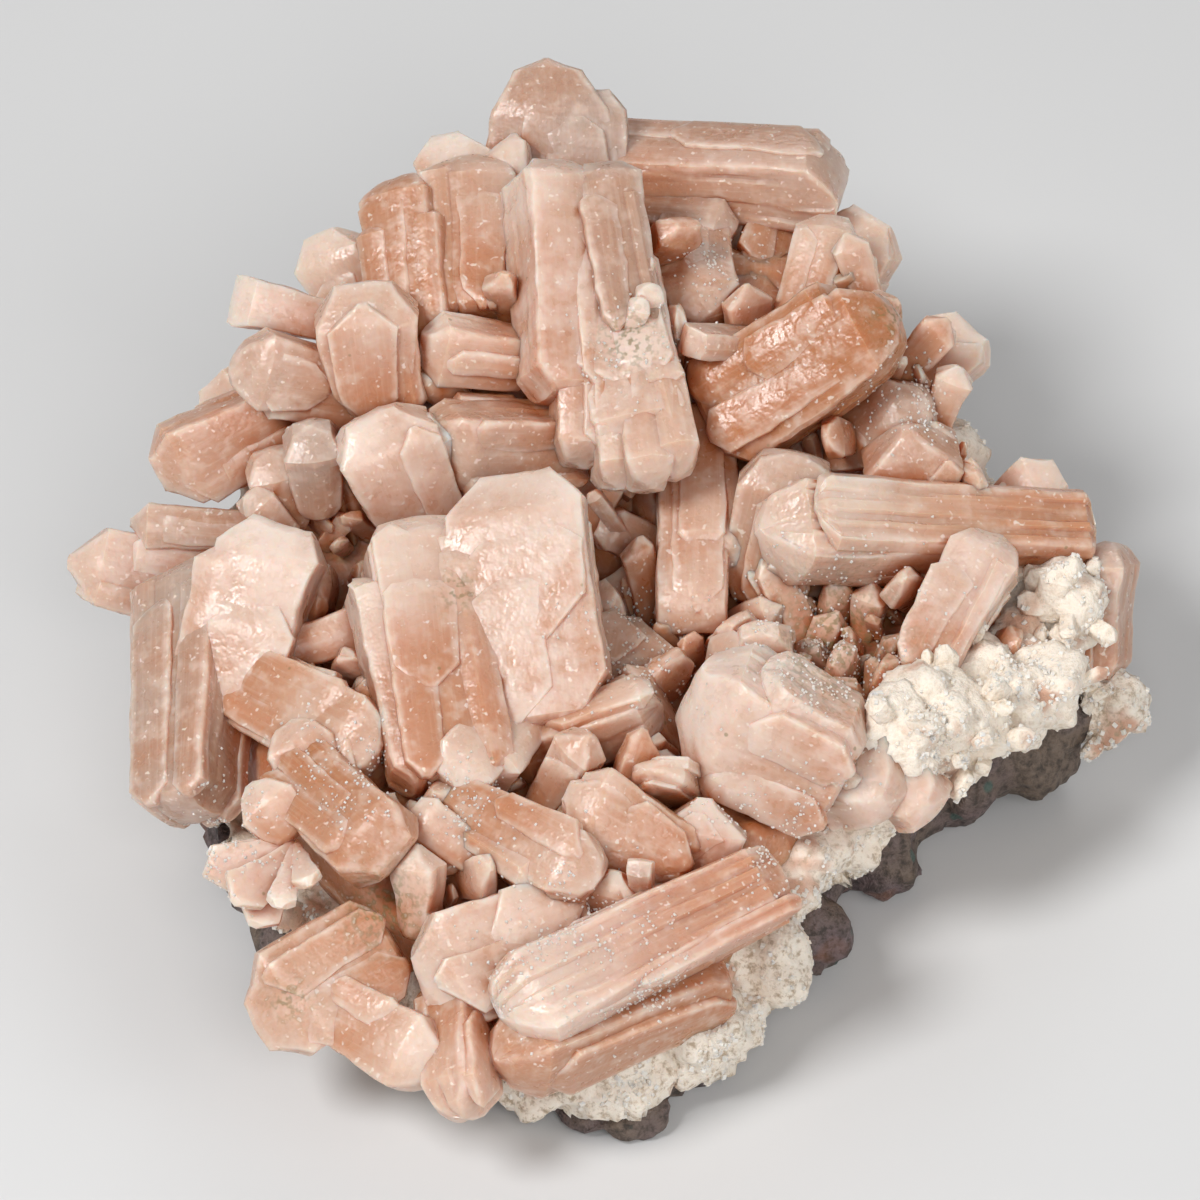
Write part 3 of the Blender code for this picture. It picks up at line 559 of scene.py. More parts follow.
def prism(length, width, thick, end, flare, back, chisel, ribs, fan):
    """Points, faces and distances from the edges of one tabular crystal that grows along y."""
    half = width / 2
    corner = min(0.45, 0.16 * thick, 0.12 * width)
    end_rim = min(0.9, 0.42 * thick, 0.2 * length)
    wobble = [rng.uniform(-0.1, 0.1) for _ in range(12)]
    tips = [(length - below * half, (share + wobble[i] * (abs(share) < 1)) * half)
            for i, (share, below) in enumerate(ENDS[end])]
    feet = [(above * half, share * flare * half) for share, above in ENDS[back]]
    middle = len(tips) // 2
    left = sorted(feet[:len(feet) // 2] + tips[:middle])
    right = sorted(feet[len(feet) // 2:] + tips[middle:])
    rows = [end_rim * step for step in END_STEPS] + [length - end_rim * step for step in END_STEPS]
    inner = length - 2.0 * end_rim
    count = max(3, round(inner / FACE_STEP) + 1)
    rows += [end_rim + inner * i / (count - 1) for i in range(1, count - 1)]
    for y in sorted({round(y, 3) for y, _ in left + right if end_rim < y < length - end_rim}):
        rows = [row for row in rows if abs(row - y) > 0.3 or row in (0.0, length)] + [y]
    rows = np.array(sorted(set(rows)))
    (u, v, side, up), ends, end_count = section_loop(width, thick)
    seeds = [rng.random() for _ in range(6)]
    swell = SWELL * width
    lobe = min(LOBE_DEPTH, 0.03 * width)
    low = np.interp(rows, *zip(*left)) - swell * waves(rows, 0.0, 1.5 * width, seeds[2:])
    low -= lobe * waves(rows, 4.0, 3.1, seeds[:3])
    high = np.interp(rows, *zip(*right)) + swell * waves(rows, 30.0, 1.5 * width, seeds[:3])
    high += lobe * waves(rows, 9.0, 2.7, seeds[1:4])
    share = rows / length
    from_end = np.minimum(rows, length - rows)
    rounded = np.sqrt(1.0 - (1.0 - np.clip(from_end / end_rim, 0.0, 1.0)) ** 2)
    slope = np.clip((rows - length + chisel) / max(chisel, 0.01), 0.0, 1.0)
    grown = rounded * (1.0 - fan + 2.0 * fan * share)
    front = thick / 2 * grown * (1.0 - 0.75 * slope)
    rear = thick / 2 * grown * (1.0 - 0.35 * slope)
    deep = np.where(v > 0, front[:, None], rear[:, None]) * (1.0 - LENS * u ** 2)
    fillet = corner * rounded[:, None]
    centre, reach = (low + high)[:, None] / 2, np.maximum((high - low)[:, None] / 2 - fillet, 0.02)
    x = centre + reach * u + fillet * side
    z = v * np.maximum(deep - fillet, 0.0) + fillet * up * (deep > 0)
    y = np.repeat(rows[:, None], len(u), axis=1)
    bounds = np.cumsum([rng.uniform(THINNEST_PLATE, THICKEST_PLATE) for _ in range(40)]) - thick
    number = np.searchsorted(bounds, z)
    tall = np.array([rng.uniform(-1.0, 1.0) for _ in range(41)])
    paces = np.array([rng.uniform(0.5, 1.6) for _ in range(41)]) * length
    inset = 0.5 + 0.5 * np.sin(6.28 * (y / paces[number] + tall[number]))
    x -= np.sign(u) * np.abs(side) * ribs * inset * rounded[:, None]
    y -= ribs * 1.5 * (0.5 + 0.5 * tall[number]) * share[:, None] ** 6 * rounded[:, None]
    y += (1.2 * lobe * waves(x, 0.0, 2.6, seeds) + swell * waves(x, 5.0, 1.5 * width, seeds[:2])
          ) * share[:, None] ** 6
    z += (0.5 * swell * waves(x, 0.5 * y, 1.1 * width, seeds)
          + 0.06 * waves(x, 0.15 * y, 1.9, seeds[1:])) * rounded[:, None]
    z[[0, -1]] *= 0.0
    away = np.where(np.abs(up) > 0.99, (1.0 - np.abs(u)) * half, (1.0 - np.abs(v)) * thick / 2)
    edge = np.minimum(away[None, :], from_end[:, None])
    grid = np.stack([x, y, z, edge], axis=-1)
    packed = np.concatenate([grid[0, :end_count], grid[1:-1].reshape(-1, 4), grid[-1, :end_count]])
    index = end_count + np.arange((len(rows) - 2) * len(u)).reshape(len(rows) - 2, len(u))
    index = np.concatenate([ends[None], index, ends[None] + end_count + index.size])
    following = np.roll(index, -1, axis=1)
    quads = np.stack([index[:-1], following[:-1], following[1:], index[1:]], axis=-1).reshape(-1, 4)
    faces = []
    for quad in quads.tolist():
        face = list(dict.fromkeys(quad))
        if len(face) > 2:
            faces.append(face)
    return packed[:, :3], faces, packed[:, 3]


def crystal(tip, foot, width, thick, face=0.0, end="blunt", flare=0.8, layers=3, spread=0.0,
            back="blunt", tone="peach", chisel=0.35, terraces=None, root=ROOT_DEPTH):
    """A crystal from foot to tip. Face is how far its broad side is turned away."""
    foot = foot - root * TOWARDS
    along = (tip - foot).normalized()
    facing = (TOWARDS - TOWARDS.dot(along) * along).normalized()
    facing = Matrix.Rotation(-math.radians(face), 3, along) @ facing
    sideways = along.cross(facing)
    length = (tip - foot).length
    bend = (rng.uniform(-0.03, 0.03), rng.uniform(-0.03, 0.03))
    own = rng.random()

    def grow(start, tilt, twist, length, width, thick, end, back, chisel, ribs, fan):
        """Adds one prism, tilted out of the face and twisted in it by angles in degrees."""
        tilted = Matrix.Rotation(math.radians(tilt), 3, sideways)
        twisted = Matrix.Rotation(math.radians(twist), 3, facing)
        axes = np.array([list(tilted @ twisted @ axis) for axis in (sideways, along, facing)])
        points, faces, edge = prism(length, width, thick, end, flare, back, chisel, ribs, fan)
        growth = np.stack([points[:, 1] / length, np.clip(edge / 1.2, 0.0, 1.0),
                           np.full(len(points), own)], axis=-1)
        grain = points + np.array([rng.uniform(0, 90), rng.uniform(0, 90), rng.uniform(0, 90)])
        curve = points[:, 1] ** 2 / length
        curved = points + np.stack([bend[0] * curve, 0.0 * curve, bend[1] * curve], axis=-1)
        blades.append((curved @ axes + np.array(start), faces, grain, growth, TONES[tone]))

    ribs = min(0.07 * layers, 0.055 * width)
    grow(foot, 0, 0, length, width, thick, end, back, chisel * width, ribs, 0.02 * spread + 0.06)
    if terraces is None:
        terraces = min(6, round(width * length / 45.0))
    for number in range(terraces):
        tip_end = rng.choice(TERRACE_ENDS)
        if number % 3 == 2:
            own_width = width * rng.uniform(0.4, 0.6)
            start = foot + sideways * rng.choice([-0.33, 0.33]) * width
            grow(start, rng.uniform(-1, 1), rng.uniform(-4, 4), length * rng.uniform(0.7, 0.97),
                 own_width, thick * rng.uniform(0.75, 1.08), tip_end, "peak", 0.4 * own_width, ribs,
                 0.08)
            continue
        own_width = width * rng.uniform(0.4, 0.85)
        own_thick = min(2.0, 0.5 * thick)
        first = rng.choice([0.0, 0.0, 0.3]) * length
        lift = (1.0 if number % 2 else -1.0) * (thick / 2 - own_thick * rng.uniform(0.26, 0.40))
        start = foot + along * first + facing * lift
        start += sideways * rng.choice([-0.5, 0.5, rng.uniform(-0.5, 0.5)]) * (width - own_width)
        grow(start, rng.uniform(-1.5, 1.5), rng.uniform(-3, 3),
             (length - first) * rng.uniform(0.55, 0.97), own_width, own_thick, tip_end, "peak",
             0.3 * own_width, 0.5 * ribs, 0.0)


def grown_together(name, material, node="stilbite_crystals"):
    """Joins the prisms made since the last call into one closed body that rides on the root."""
    parts = []
    for points, faces, grain, growth, tone in blades:
        tones = np.tile(np.array(tone), (len(points), 1))
        mesh = mesh_from("blade", points, faces,
                         {"grain": grain, "growth": growth, "tone": tones})
        parts.append(bpy.data.objects.new("blade", mesh))
    blades.clear()
    body = bpy.data.objects.new(name, parts[0].data)
    bpy.context.scene.collection.objects.link(body)
    bundle = bpy.data.collections.new("bundle")
    bpy.context.scene.collection.children.link(bundle)
    for part in parts[1:]:
        bundle.objects.link(part)
    union = body.modifiers.new("union", "BOOLEAN")
    union.operand_type, union.collection = "COLLECTION", bundle
    union.operation, union.solver = "UNION", "MANIFOLD"
    evaluated = body.evaluated_get(bpy.context.evaluated_depsgraph_get())
    body.data = bpy.data.meshes.new_from_object(evaluated)
    body.modifiers.clear()
    for part in parts:
        bpy.data.objects.remove(part)
    bpy.data.collections.remove(bundle)
    body.data.name = name
    body.data.shade_smooth()
    body.data.set_sharp_from_angle(angle=SHARPEST_ROUND)
    body.data.materials.clear()
    body.data.materials.append(material)
    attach(body, "root")
    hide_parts(node)
    return body


crystal(seen(-5.2, 53.8, 17), seen(-4.8, 40, 3), 12, 7, 0, "round", 1.15, 3, tone="clear")
crystal(seen(-13.2, 47.2, 12), seen(-12, 36, 5), 12, 4, 10, "left", layers=2, tone="pearl")
crystal(seen(-12.3, 44.6, 11), seen(-12, 28, 4), 8.5, 7, 0, "round", layers=3, tone="warm")
crystal(seen(-19.5, 42.6, 10), seen(-17.5, 20.5, 4), 7.5, 8, 25, "round", layers=3, tone="deep")
crystal(seen(-5, 44.3, 17), seen(-3.5, 20, 10), 8.5, 9, -25, "blunt", 0.95, 4, 4, tone="pale")
crystal(seen(0.3, 43.8, 17), seen(3, 26, 10), 7, 7, -10, layers=3, tone="clear")
crystal(seen(4.6, 14, 12), seen(0.5, 34, 10), 10, 7.5, 0, "round", 0.8, 3, tone="pale")
for lump_across, lump_up, lump_width in (
    (4.0, 37.2, 3.4), (5.0, 34.4, 2.8), (3.4, 33.6, 2.4), (5.4, 31.6, 3.0), (4.4, 30.0, 2.2),
):
    crystal(seen(lump_across, lump_up, 13.0), seen(lump_across - 2.5, lump_up - 5, 9.5), lump_width,
            2.2, rng.uniform(-30, 30), "round", layers=1, tone="pale")
crystal(seen(24.5, 41.6, 4), seen(-1, 43, 4), 9, 8.5, 60, "square", 0.9, 5, tone="grey")
crystal(seen(13.5, 37, 1), seen(3, 38.5, 2), 5, 5, 40, layers=3, tone="grey")
crystal(seen(9.5, 27.5, 3), seen(9.5, 38, 1), 8.5, 6, 0, "round", layers=2, tone="grey")
crystal(seen(15, 28, 1), seen(18, 40, 0), 6, 4, 0, "peak", layers=2, tone="deep")
crystal(seen(23.5, 38.3, 6), seen(20.5, 27, 4), 6.5, 6, 20, layers=3)
for finger_tip, finger_foot, finger_width in (
    (seen(-2, 13, 9), seen(-2.0, 27, 9), 6.5),
    (seen(1.8, 10.8, 12), seen(0.5, 27, 8.5), 5),
    (seen(5, 11, 14), seen(2.4, 29, 9), 5),
    (seen(8.2, 12.5, 13), seen(4, 30, 8.5), 5),
):
    crystal(finger_tip, finger_foot, finger_width, 7, 10, "round", layers=3)
# This sheaf gets the darkest tone: painted shade, as it lies in shade.
crystal(seen(30, 28.3, 9), seen(11, 17.5, 5), 9.5, 8, 10, "round", 1.35, 4, 8, tone="painted_shade")
crystal(seen(8.5, 26, 9), seen(19, 25.5, 7), 3, 5, 20, "square", layers=2, tone="grey")
crystal(seen(33.2, 18.5, 4), seen(23, 16, -1), 8.5, 6, 10, "round", layers=3, tone="clear")
crystal(seen(29, 23.5, 1), seen(25, 16, -1), 8, 5, 0, "round", layers=2, tone="clear")
crystal(seen(9.8, -3.5, 5), seen(9, 19, 3), 7.5, 5, 0, "square", 0.9, 3, tone="warm")
crown = grown_together("crown_sheaves", stilbite)

# Left flank
# Stilbite tablets, rooted in the druse, that point out to the left over the rim of the rock, and a
# small fan of thin blades, splayed from one root, at the lower left.
crystal(seen(-36.8, 30.3, 5), seen(-25.5, 27.5, 3), 5.5, 5, 0, "square", tone="pale")
crystal(seen(-37, 23.8, 8), seen(-23, 21, 4), 8, 6.5, 10, "round", tone="grey")
crystal(seen(-23.8, 31.4, 11), seen(-22.3, 18.5, 5), 10.5, 7, 0, layers=3, tone="warm")
crystal(seen(-44, 12, 5), seen(-31, 19.5, 2), 8.5, 6, 20, layers=3, tone="warm")
crystal(seen(-53, 3.8, 4), seen(-39, 1, 1), 8, 6, 0, "peak", 1.1, layers=3)
crystal(seen(-47, 7.5, 4), seen(-33, 6.8, 2), 5, 5, 0, "peak", layers=2, tone="grey")
crystal(seen(-39.5, 4.3, 9), seen(-41.3, -21.5, 5), 9, 8, 35, "blunt", 0.9, 2, tone="clear")
crystal(seen(-32.3, 8, 13), seen(-37, -11, 7), 11, 7, 10, layers=2, tone="pearl")
crystal(seen(-22.7, -2.5, 8), seen(-34, -6, 9), 5, 5, 0, layers=2)
crystal(seen(-22, -15.5, 9), seen(-35.5, -8, 10), 9, 5, 0, "round", layers=2, tone="warm")
crystal(seen(-31, -12, 11), seen(-28, -20, 6), 7, 5, 0, "round", layers=2, tone="warm")
crystal(seen(-21, -26, 9), seen(-31, -17, 8), 9, 6, 0, layers=3, tone="deep")
crystal(seen(-35, -18.5, 10), seen(-30.5, -24, 6), 6.5, 4, 0, "round", layers=2)
crystal(seen(-23, 18.7, 11), seen(-18, 7, 6), 10.5, 7, -5, layers=3, tone="pale")
crystal(seen(-29, 17.5, 9), seen(-28, 9, 5), 6, 6, 0, "round", layers=2, tone="clear")
crystal(seen(-33, 15, 6), seen(-31, 7, 3), 6, 5, 0, "round", layers=2, tone="grey")
crystal(seen(-35, 10.8, 7), seen(-31, 6, 5), 4, 4, 0, layers=2, tone="grey")
crystal(seen(-24, 1, 7), seen(-21, -8, 4), 6, 5, 0, layers=2)
for fan_tip, fan_width in (
    (seen(-39.8, -27.5, 6), 5), (seen(-36.5, -30.5, 7), 5), (seen(-34.5, -33, 3), 4),
    (seen(-32, -30.8, 8), 3), (seen(-29, -28.5, 8), 3),
):
    crystal(fan_tip, seen(-30.5, -24.5, 6), fan_width, 1.3, 0, "peak", 0.4, layers=1, tone="pale",
            chisel=0.15)
left_flank = grown_together("left_flank_tablets", stilbite)

# Middle
# The two tall stilbite tablets that face the viewer, rooted in the druse and leaning together, and
# the thick blocks that grew around the deep pocket beside them.
crystal(seen(-18.5, 8.8, 13), seen(-14.5, -19, 8), 11, 8, -10, "round", 0.9, 3)
crystal(seen(-9.5, 13, 15), seen(-5.5, -13, 9), 14.5, 7, 5, "blunt", 0.95, 3, tone="pearl")
crystal(seen(-15, -18.5, 9), seen(-6, -8, 9), 7, 5, 0, layers=3)
crystal(seen(-17.3, 15.3, 8), seen(-1.5, 16, 5), 8.5, 8, 25, layers=3, tone="grey")
crystal(seen(-18, 25.5, 6), seen(-6, 24, 5), 7, 6, 25, layers=3)
crystal(seen(-1.2, 10.7, 7), seen(6, 2, 1), 1.8, 1.5, 20, layers=1, tone="grey")
crystal(seen(0, 7.8, 4), seen(9, 3.5, 1), 5, 3, 0, layers=2, tone="warm")
crystal(seen(1, 2.5, 5), seen(6, -3, 1), 6.5, 4, 0, layers=2, tone="grey")
crystal(seen(3, -1.6, 9), seen(1.5, -11, 4), 11.5, 5, 0, "peak", layers=3, tone="grey")
crystal(seen(6.2, -10, 9), seen(-9.5, -16, 5), 6.5, 6.5, 55, "peak", layers=4)
crystal(seen(8.6, -9.5, 13), seen(25, -17.5, 7), 12.5, 11, 30, "blunt", 0.9, 4, tone="pearl")
crystal(seen(-4.5, -21, 8), seen(8.5, -28, 4), 9.5, 5, 0, "right", layers=3, tone="warm")
crystal(seen(10.8, -19.8, 7), seen(9.5, -29, 1), 8.5, 5, 0, "peak", layers=2, tone="pale")
crystal(seen(5, -15, 6), seen(6, -21, 3), 7, 4, 0, layers=2)
crystal(seen(-0.5, -28, 9), seen(-15, -20, 8), 7.5, 5, 10, "round", layers=4, tone="warm")
middle = grown_together("middle_tablets", stilbite)

# Front
# The big ribbed sheaf of stilbite, which grew sideways out of the druse and leans over the front
# rim, and the tablets that grew beside and through it.
crystal(seen(-10.5, -42, 8), seen(18, -27.5, 6), 9, 9, 75, "round", 0.8, 7, 8)
crystal(seen(-10.5, -46, 5), seen(12, -37, 2), 9, 8, 60, "round", 0.8, 4, tone="deep")
crystal(seen(-18.3, -24.5, 8), seen(-18, -34, 4), 5, 4, 30, "peak", layers=3, tone="pale")
crystal(seen(-19, -21, 8), seen(-11, -27, 6), 5, 3, 0, layers=2)
crystal(seen(-18, -38.5, 6), seen(-1, -31.5, 5), 12, 6, 0, layers=3, tone="pale")
crystal(seen(3.9, -26.2, 9), seen(4.6, -31, 5), 2.6, 2.4, 20, "square", layers=1, tone="clear")
crystal(seen(1.5, -27.2, 7), seen(0.5, -33, 4), 5, 3, 0, "peak", layers=2)
crystal(seen(-34.3, -42.5, 3), seen(-20.5, -34.5, 4), 10.5, 6, 0, "blunt", 0.9, 3, tone="warm")
crystal(seen(-16, -47, 4), seen(-27, -41, 4), 8, 6, 0, "round", layers=2)
crystal(seen(-13.5, -51.8, 1), seen(-14.5, -38, 5), 7.5, 6, 60, "round", layers=4, tone="warm")
front = grown_together("front_sheaves", stilbite)

# Right flank
# The long ribbed sheaf of stilbite that grew flat across the druse, and the short, thick crystals
# rooted around it, down to the crust at the rim.
crystal(seen(19.3, 15, 9), seen(15.5, 0, 3), 10, 6.5, 0, "round", layers=3, tone="grey")
crystal(seen(16, 6.3, 11), seen(48.5, 6.5, 6), 9, 9, 70, "round", 0.9, 7, 5)
crystal(seen(30.8, 17, 7), seen(31.5, 10, 3), 10, 6, 0, "peak", layers=2, tone="grey")
crystal(seen(39.8, 6.6, 11), seen(31.5, -8, 6), 7.5, 6.5, 10, "round", layers=3, tone="pale")
crystal(seen(50.5, 5.8, 4), seen(50.5, -8, 1), 5.5, 8, 20, "round", layers=3, tone="grey")
crystal(seen(28, -20, 5), seen(23, -14, 3), 9, 8, 0, "round", layers=3, tone="pearl")
crystal(seen(32.5, -20.5, 3), seen(28, -16, 1), 7, 6, 0, "round", layers=3, tone="pearl")
for stub_tip, stub_foot in (
    (seen(18, -0.3, 6), seen(12, -3.5, 2)), (seen(23.5, -1, 5), seen(21, -7, 0)),
    (seen(27.5, 1.5, 6), seen(26, -5, 0)), (seen(20, -4, 4), seen(23, -9, 0)),
):
    crystal(stub_tip, stub_foot, 3.5, 3, 20, "peak", layers=2)
right_flank = grown_together("right_flank_sheaves", stilbite)

# Back
# Shorter tablets of the same stilbite, rooted along the ridge, that lean out over the broken back
# of the rock.
for x, y, z, lean_x, lean_y, lean_z, width in (
    (-22, 32, 30, -7, 9, 9, 8), (-12, 38, 34, -4, 10, 9, 9), (0, 40, 33, 1, 12, 7, 10),
    (11, 40, 34, 3, 9, 8, 8), (22, 36, 30, 6, 8, 9, 9), (30, 27, 26, 8, 6, 8, 8),
    (-31, 22, 24, -9, 5, 7, 8), (38, 15, 20, 9, 4, 6, 7), (5, 41, 26, 2, 9, 1, 8),
    (-16, 38, 26, -5, 8, 0, 8), (26, 33, 20, 7, 7, 0, 7),
):
    back_foot = Vector((x, y, z))
    crystal(back_foot + Vector((lean_x, lean_y, lean_z)), back_foot, width, 5, 20, layers=3)
back = grown_together("back_tablets", stilbite)

# Crystals between
# Smaller stilbite crystals, rooted on the druse wherever the big ones leave it open. They point
# every way, and are deeper in colour than the rest, partly as painted shade for the gaps.


def surface_of(bodies):
    """The points, in metres, and the triangles of some bodies together."""
    points, faces, count = [], [], 0
    for body in bodies:
        mesh = body.data
        own = np.empty(3 * len(mesh.vertices), np.float32)
        mesh.vertices.foreach_get("co", own)
        mesh.calc_loop_triangles()
        corners = np.empty(3 * len(mesh.loop_triangles), np.int32)
        mesh.loop_triangles.foreach_get("vertices", corners)
        points += own.reshape(-1, 3).tolist()
        faces += (corners.reshape(-1, 3) + count).tolist()
        count += len(mesh.vertices)
    return points, faces


# The deep orange hollow under the crown and the dark hole near the front edge stay open.
OPEN_GAPS = ((15.5, 30.5), (15.5, 35.0), (14.5, -20.0))
OPEN_RADIUS = 4.5


def fill_gaps(name, tries, spacing, lengths, widths, layers):
    """Stands crystals on the druse wherever nothing above hides it."""
    standing = []
    open_gaps = [seen(across, up, 0.0) for across, up in OPEN_GAPS]
    for _ in range(tries):
        x, y = rng.uniform(-44, 46), rng.uniform(-48, 42)
        out = Vector((x, y)) - ROCK_MIDDLE
        if out.length > 0.9 * outline_radius(math.atan2(out.y, out.x)):
            continue
        spot = Vector((x, y, druse_height(x, y)))
        if any((spot - gap).length < OPEN_RADIUS for gap in open_gaps):
            continue
        view = TOWARDS
        if rng.random() < 0.4:
            view = Vector((rng.uniform(-1, 1), rng.uniform(-1, 1), rng.uniform(0.3, 1.5)))
        tilt = (Vector((rng.uniform(-1, 1), rng.uniform(-1.1, 0.9), 1.0)) + 0.3 * view).normalized()
        length = rng.uniform(*lengths)
        if any((spot - other).length < spacing for other in standing):
            continue
        if big_skin.ray_cast((spot + 2.0 * tilt - FOOTPRINT_MIDDLE) * MM, view)[0] is not None:
            continue
        middle = (spot + 0.6 * length * tilt - FOOTPRINT_MIDDLE) * MM
        close, normal, _, _ = big_skin.find_nearest(middle)
        if (middle - close).dot(normal) < 0.0:
            continue
        standing.append(spot)
        width = rng.uniform(*widths)
        # Their deeper tones are partly painted shade for the gaps.
        crystal(spot + length * tilt, spot - 2.0 * tilt, width, width * rng.uniform(0.45, 0.7),
                rng.uniform(-70, 70), rng.choice(["peak", "blunt", "left", "right", "round"]), 0.75,
                layers, tone=rng.choice(["peach", "warm", "warm", "deep", "deep"]), root=0.5)
    return grown_together(name, stilbite)


big_crystals = [crown, left_flank, middle, front, right_flank, back]
big_skin = BVHTree.FromPolygons(*surface_of(big_crystals))
between = fill_gaps("crystals_between", 5000, 5.0, (6, 11), (3.5, 6), 2)
big_skin = BVHTree.FromPolygons(*surface_of(big_crystals + [between]))
small = fill_gaps("small_crystals", 6000, 2.3, (3, 6), (1.4, 3), 1)

# Crust spikes
# Small jagged crystals of the crust's own white mineral, grown out of its lumps along the right
# rim.
SPIKES = 40
crust_skin = BVHTree.FromPolygons(*surface_of([crust]))
eye = SIGHT_AIM + SIGHT_DISTANCE * TOWARDS
for _ in range(SPIKES):
    across, up = rng.uniform(26, 50), rng.uniform(-18, 4)
    ray = (SIGHT_AIM + across * ACROSS + up * UPWARD - eye).normalized()
    spot, normal, _, _ = crust_skin.ray_cast((eye - FOOTPRINT_MIDDLE) * MM, ray)
    if spot is None or spot.z < 0.008:
        continue
    spot = spot / MM + FOOTPRINT_MIDDLE
    lean = (normal + Vector((rng.uniform(-0.7, 0.7), rng.uniform(-0.7, 0.7), 0.3))).normalized()
    crystal(spot + lean * rng.uniform(1.2, 3.2), spot - lean * 1.5, rng.uniform(1.4, 3.0),
            rng.uniform(1.1, 2.2), rng.uniform(-80, 80), rng.choice(TERRACE_ENDS), 0.9, 1,
            root=0.0)
crystal(seen(45.8, 3.5, 12), seen(44.5, -2, 7), 3.5, 3, 10, "peak", 0.9, 2, root=0.0)
spikes = grown_together("crust_spikes", frosty, "pale_crust")

# Shelter and painted shade
# What the surface keeps of its surroundings. Each point stores how much of the sky near it is
# covered, which paints shade into the crevices, and whether dirt or loose grains settled there.
SHELTER_REACH = 13.0
SKY_DIRECTIONS = 30

crystals = big_crystals + [between, small]
bodies = crystals + [druse, crust, spikes, rock]
whole_skin = BVHTree.FromPolygons(*surface_of(bodies))
turns = np.arange(SKY_DIRECTIONS) * math.pi * (3.0 - math.sqrt(5.0))
heights = 1.0 - 2.0 * (np.arange(SKY_DIRECTIONS) + 0.5) / SKY_DIRECTIONS
rings = np.sqrt(1.0 - heights ** 2)
sky = np.stack([rings * np.cos(turns), rings * np.sin(turns), heights], axis=-1)
sky_directions = [Vector(direction) for direction in sky]
# Greenish-brown dirt: across, up and radius of each spot, in millimetres from the best side.
DIRT_SPOTS = ((3.0, 26.0, 3.0), (29.5, 28.5, 2.2), (-14.0, 1.0, 1.8), (-25.5, 5.0, 1.5),
              (-30.0, -38.5, 2.0), (24.0, -4.0, 6.0), (-21.0, -30.0, 4.0))
# Sugary granules that dust the crystals: across, up and radius of each patch.
SUGAR_SPOTS = ((-4.0, -33.0, 6.0), (3.0, -35.5, 5.0), (23.0, -4.0, 7.0), (3.5, -4.5, 4.5),
               (2.0, 25.0, 4.0), (17.0, -23.0, 5.0), (-25.0, -17.0, 4.0), (12.0, 33.0, 3.0),
               (-12.0, -20.0, 4.0), (-36.0, -24.0, 5.0), (31.0, 20.0, 4.0))


def nearness(points, normals, spots):
    """How near each point is to a spot, from 0 to 1, if it faces the best side."""
    across = points[:, 0] / MM + FOOTPRINT_MIDDLE.x
    up = (points / MM + np.array(FOOTPRINT_MIDDLE - SIGHT_AIM)) @ np.array(UPWARD)
    near = np.zeros(len(points))
    for spot_across, spot_up, radius in spots:
        away = np.hypot(across - spot_across, up - spot_up) / radius
        near = np.maximum(near, np.exp(-away ** 2))
    return near * (normals @ np.array(TOWARDS) > 0.1)


for body in bodies:
    mesh = body.data
    points = np.empty(3 * len(mesh.vertices))
    normals = np.empty(3 * len(mesh.vertices))
    mesh.vertices.foreach_get("co", points)
    mesh.vertices.foreach_get("normal", normals)
    points, normals = points.reshape(-1, 3), normals.reshape(-1, 3)
    facing = normals @ sky.T
    starts = points + 0.0004 * normals
    covered = np.zeros(len(points))
    for i, start in enumerate(starts.tolist()):
        start = Vector(start)
        open_share = total = 0.0
        for k in np.nonzero(facing[i] > 0.3)[0]:
            total += facing[i, k]
            distance = whole_skin.ray_cast(start, sky_directions[k], SHELTER_REACH * MM)[3]
            if distance is None:
                open_share += facing[i, k]
            else:
                open_share += facing[i, k] * 0.7 * distance / (SHELTER_REACH * MM)
        covered[i] = 1.0 - open_share / total
    sugary = nearness(points, normals, SUGAR_SPOTS)
    if body in (crust, spikes):
        sugary = np.clip(3.0 - 4.0 * covered, 0.0, 1.0) * (points[:, 2] > 2.0 * MM)
    for name, values in (("shelter", covered), ("sugary", sugary),
                         ("stain", nearness(points, normals, DIRT_SPOTS))):
        mesh.attributes.new(name, "FLOAT", "POINT").data.foreach_set("value", values)

# Sugar grains
# Fine granules of the crust's mineral, up to about half a millimetre. They settled last, and stick
# to the crust and, in patches, to some of the crystals.
# Sugary granules: loose, glassy, nearly white grains that catch the light one by one.
GRAIN_CREAM = "#F6E9D8"
granules = bpy.data.materials.new("sugary_granules")
granules.use_nodes = True
tree = granules.node_tree
place = add_node(tree, "ShaderNodeTexCoord", output="Object")
tints = add_node(tree, "ShaderNodeTexNoise", {"Vector": place, "Scale": 0.4 * PER_MM})
tints = add_node(tree, "ShaderNodeMapRange", {"Value": tints, "From Min": 0.35, "From Max": 0.65})
colour = add_node(tree, "ShaderNodeMix", {"Factor": tints, 6: linear(CRUST_WHITE),
                                          7: linear(GRAIN_CREAM)}, 2, data_type="RGBA")
shader = tree.nodes["Principled BSDF"]
tree.links.new(colour, shader.inputs["Base Color"])
shader.inputs["Roughness"].default_value = 0.55
shader.inputs["IOR"].default_value = 1.5
shader.inputs["Subsurface Weight"].default_value = 0.6
shader.inputs["Subsurface Radius"].default_value = (1.0, 0.8, 0.62)
shader.inputs["Subsurface Scale"].default_value = 1.0 * MM

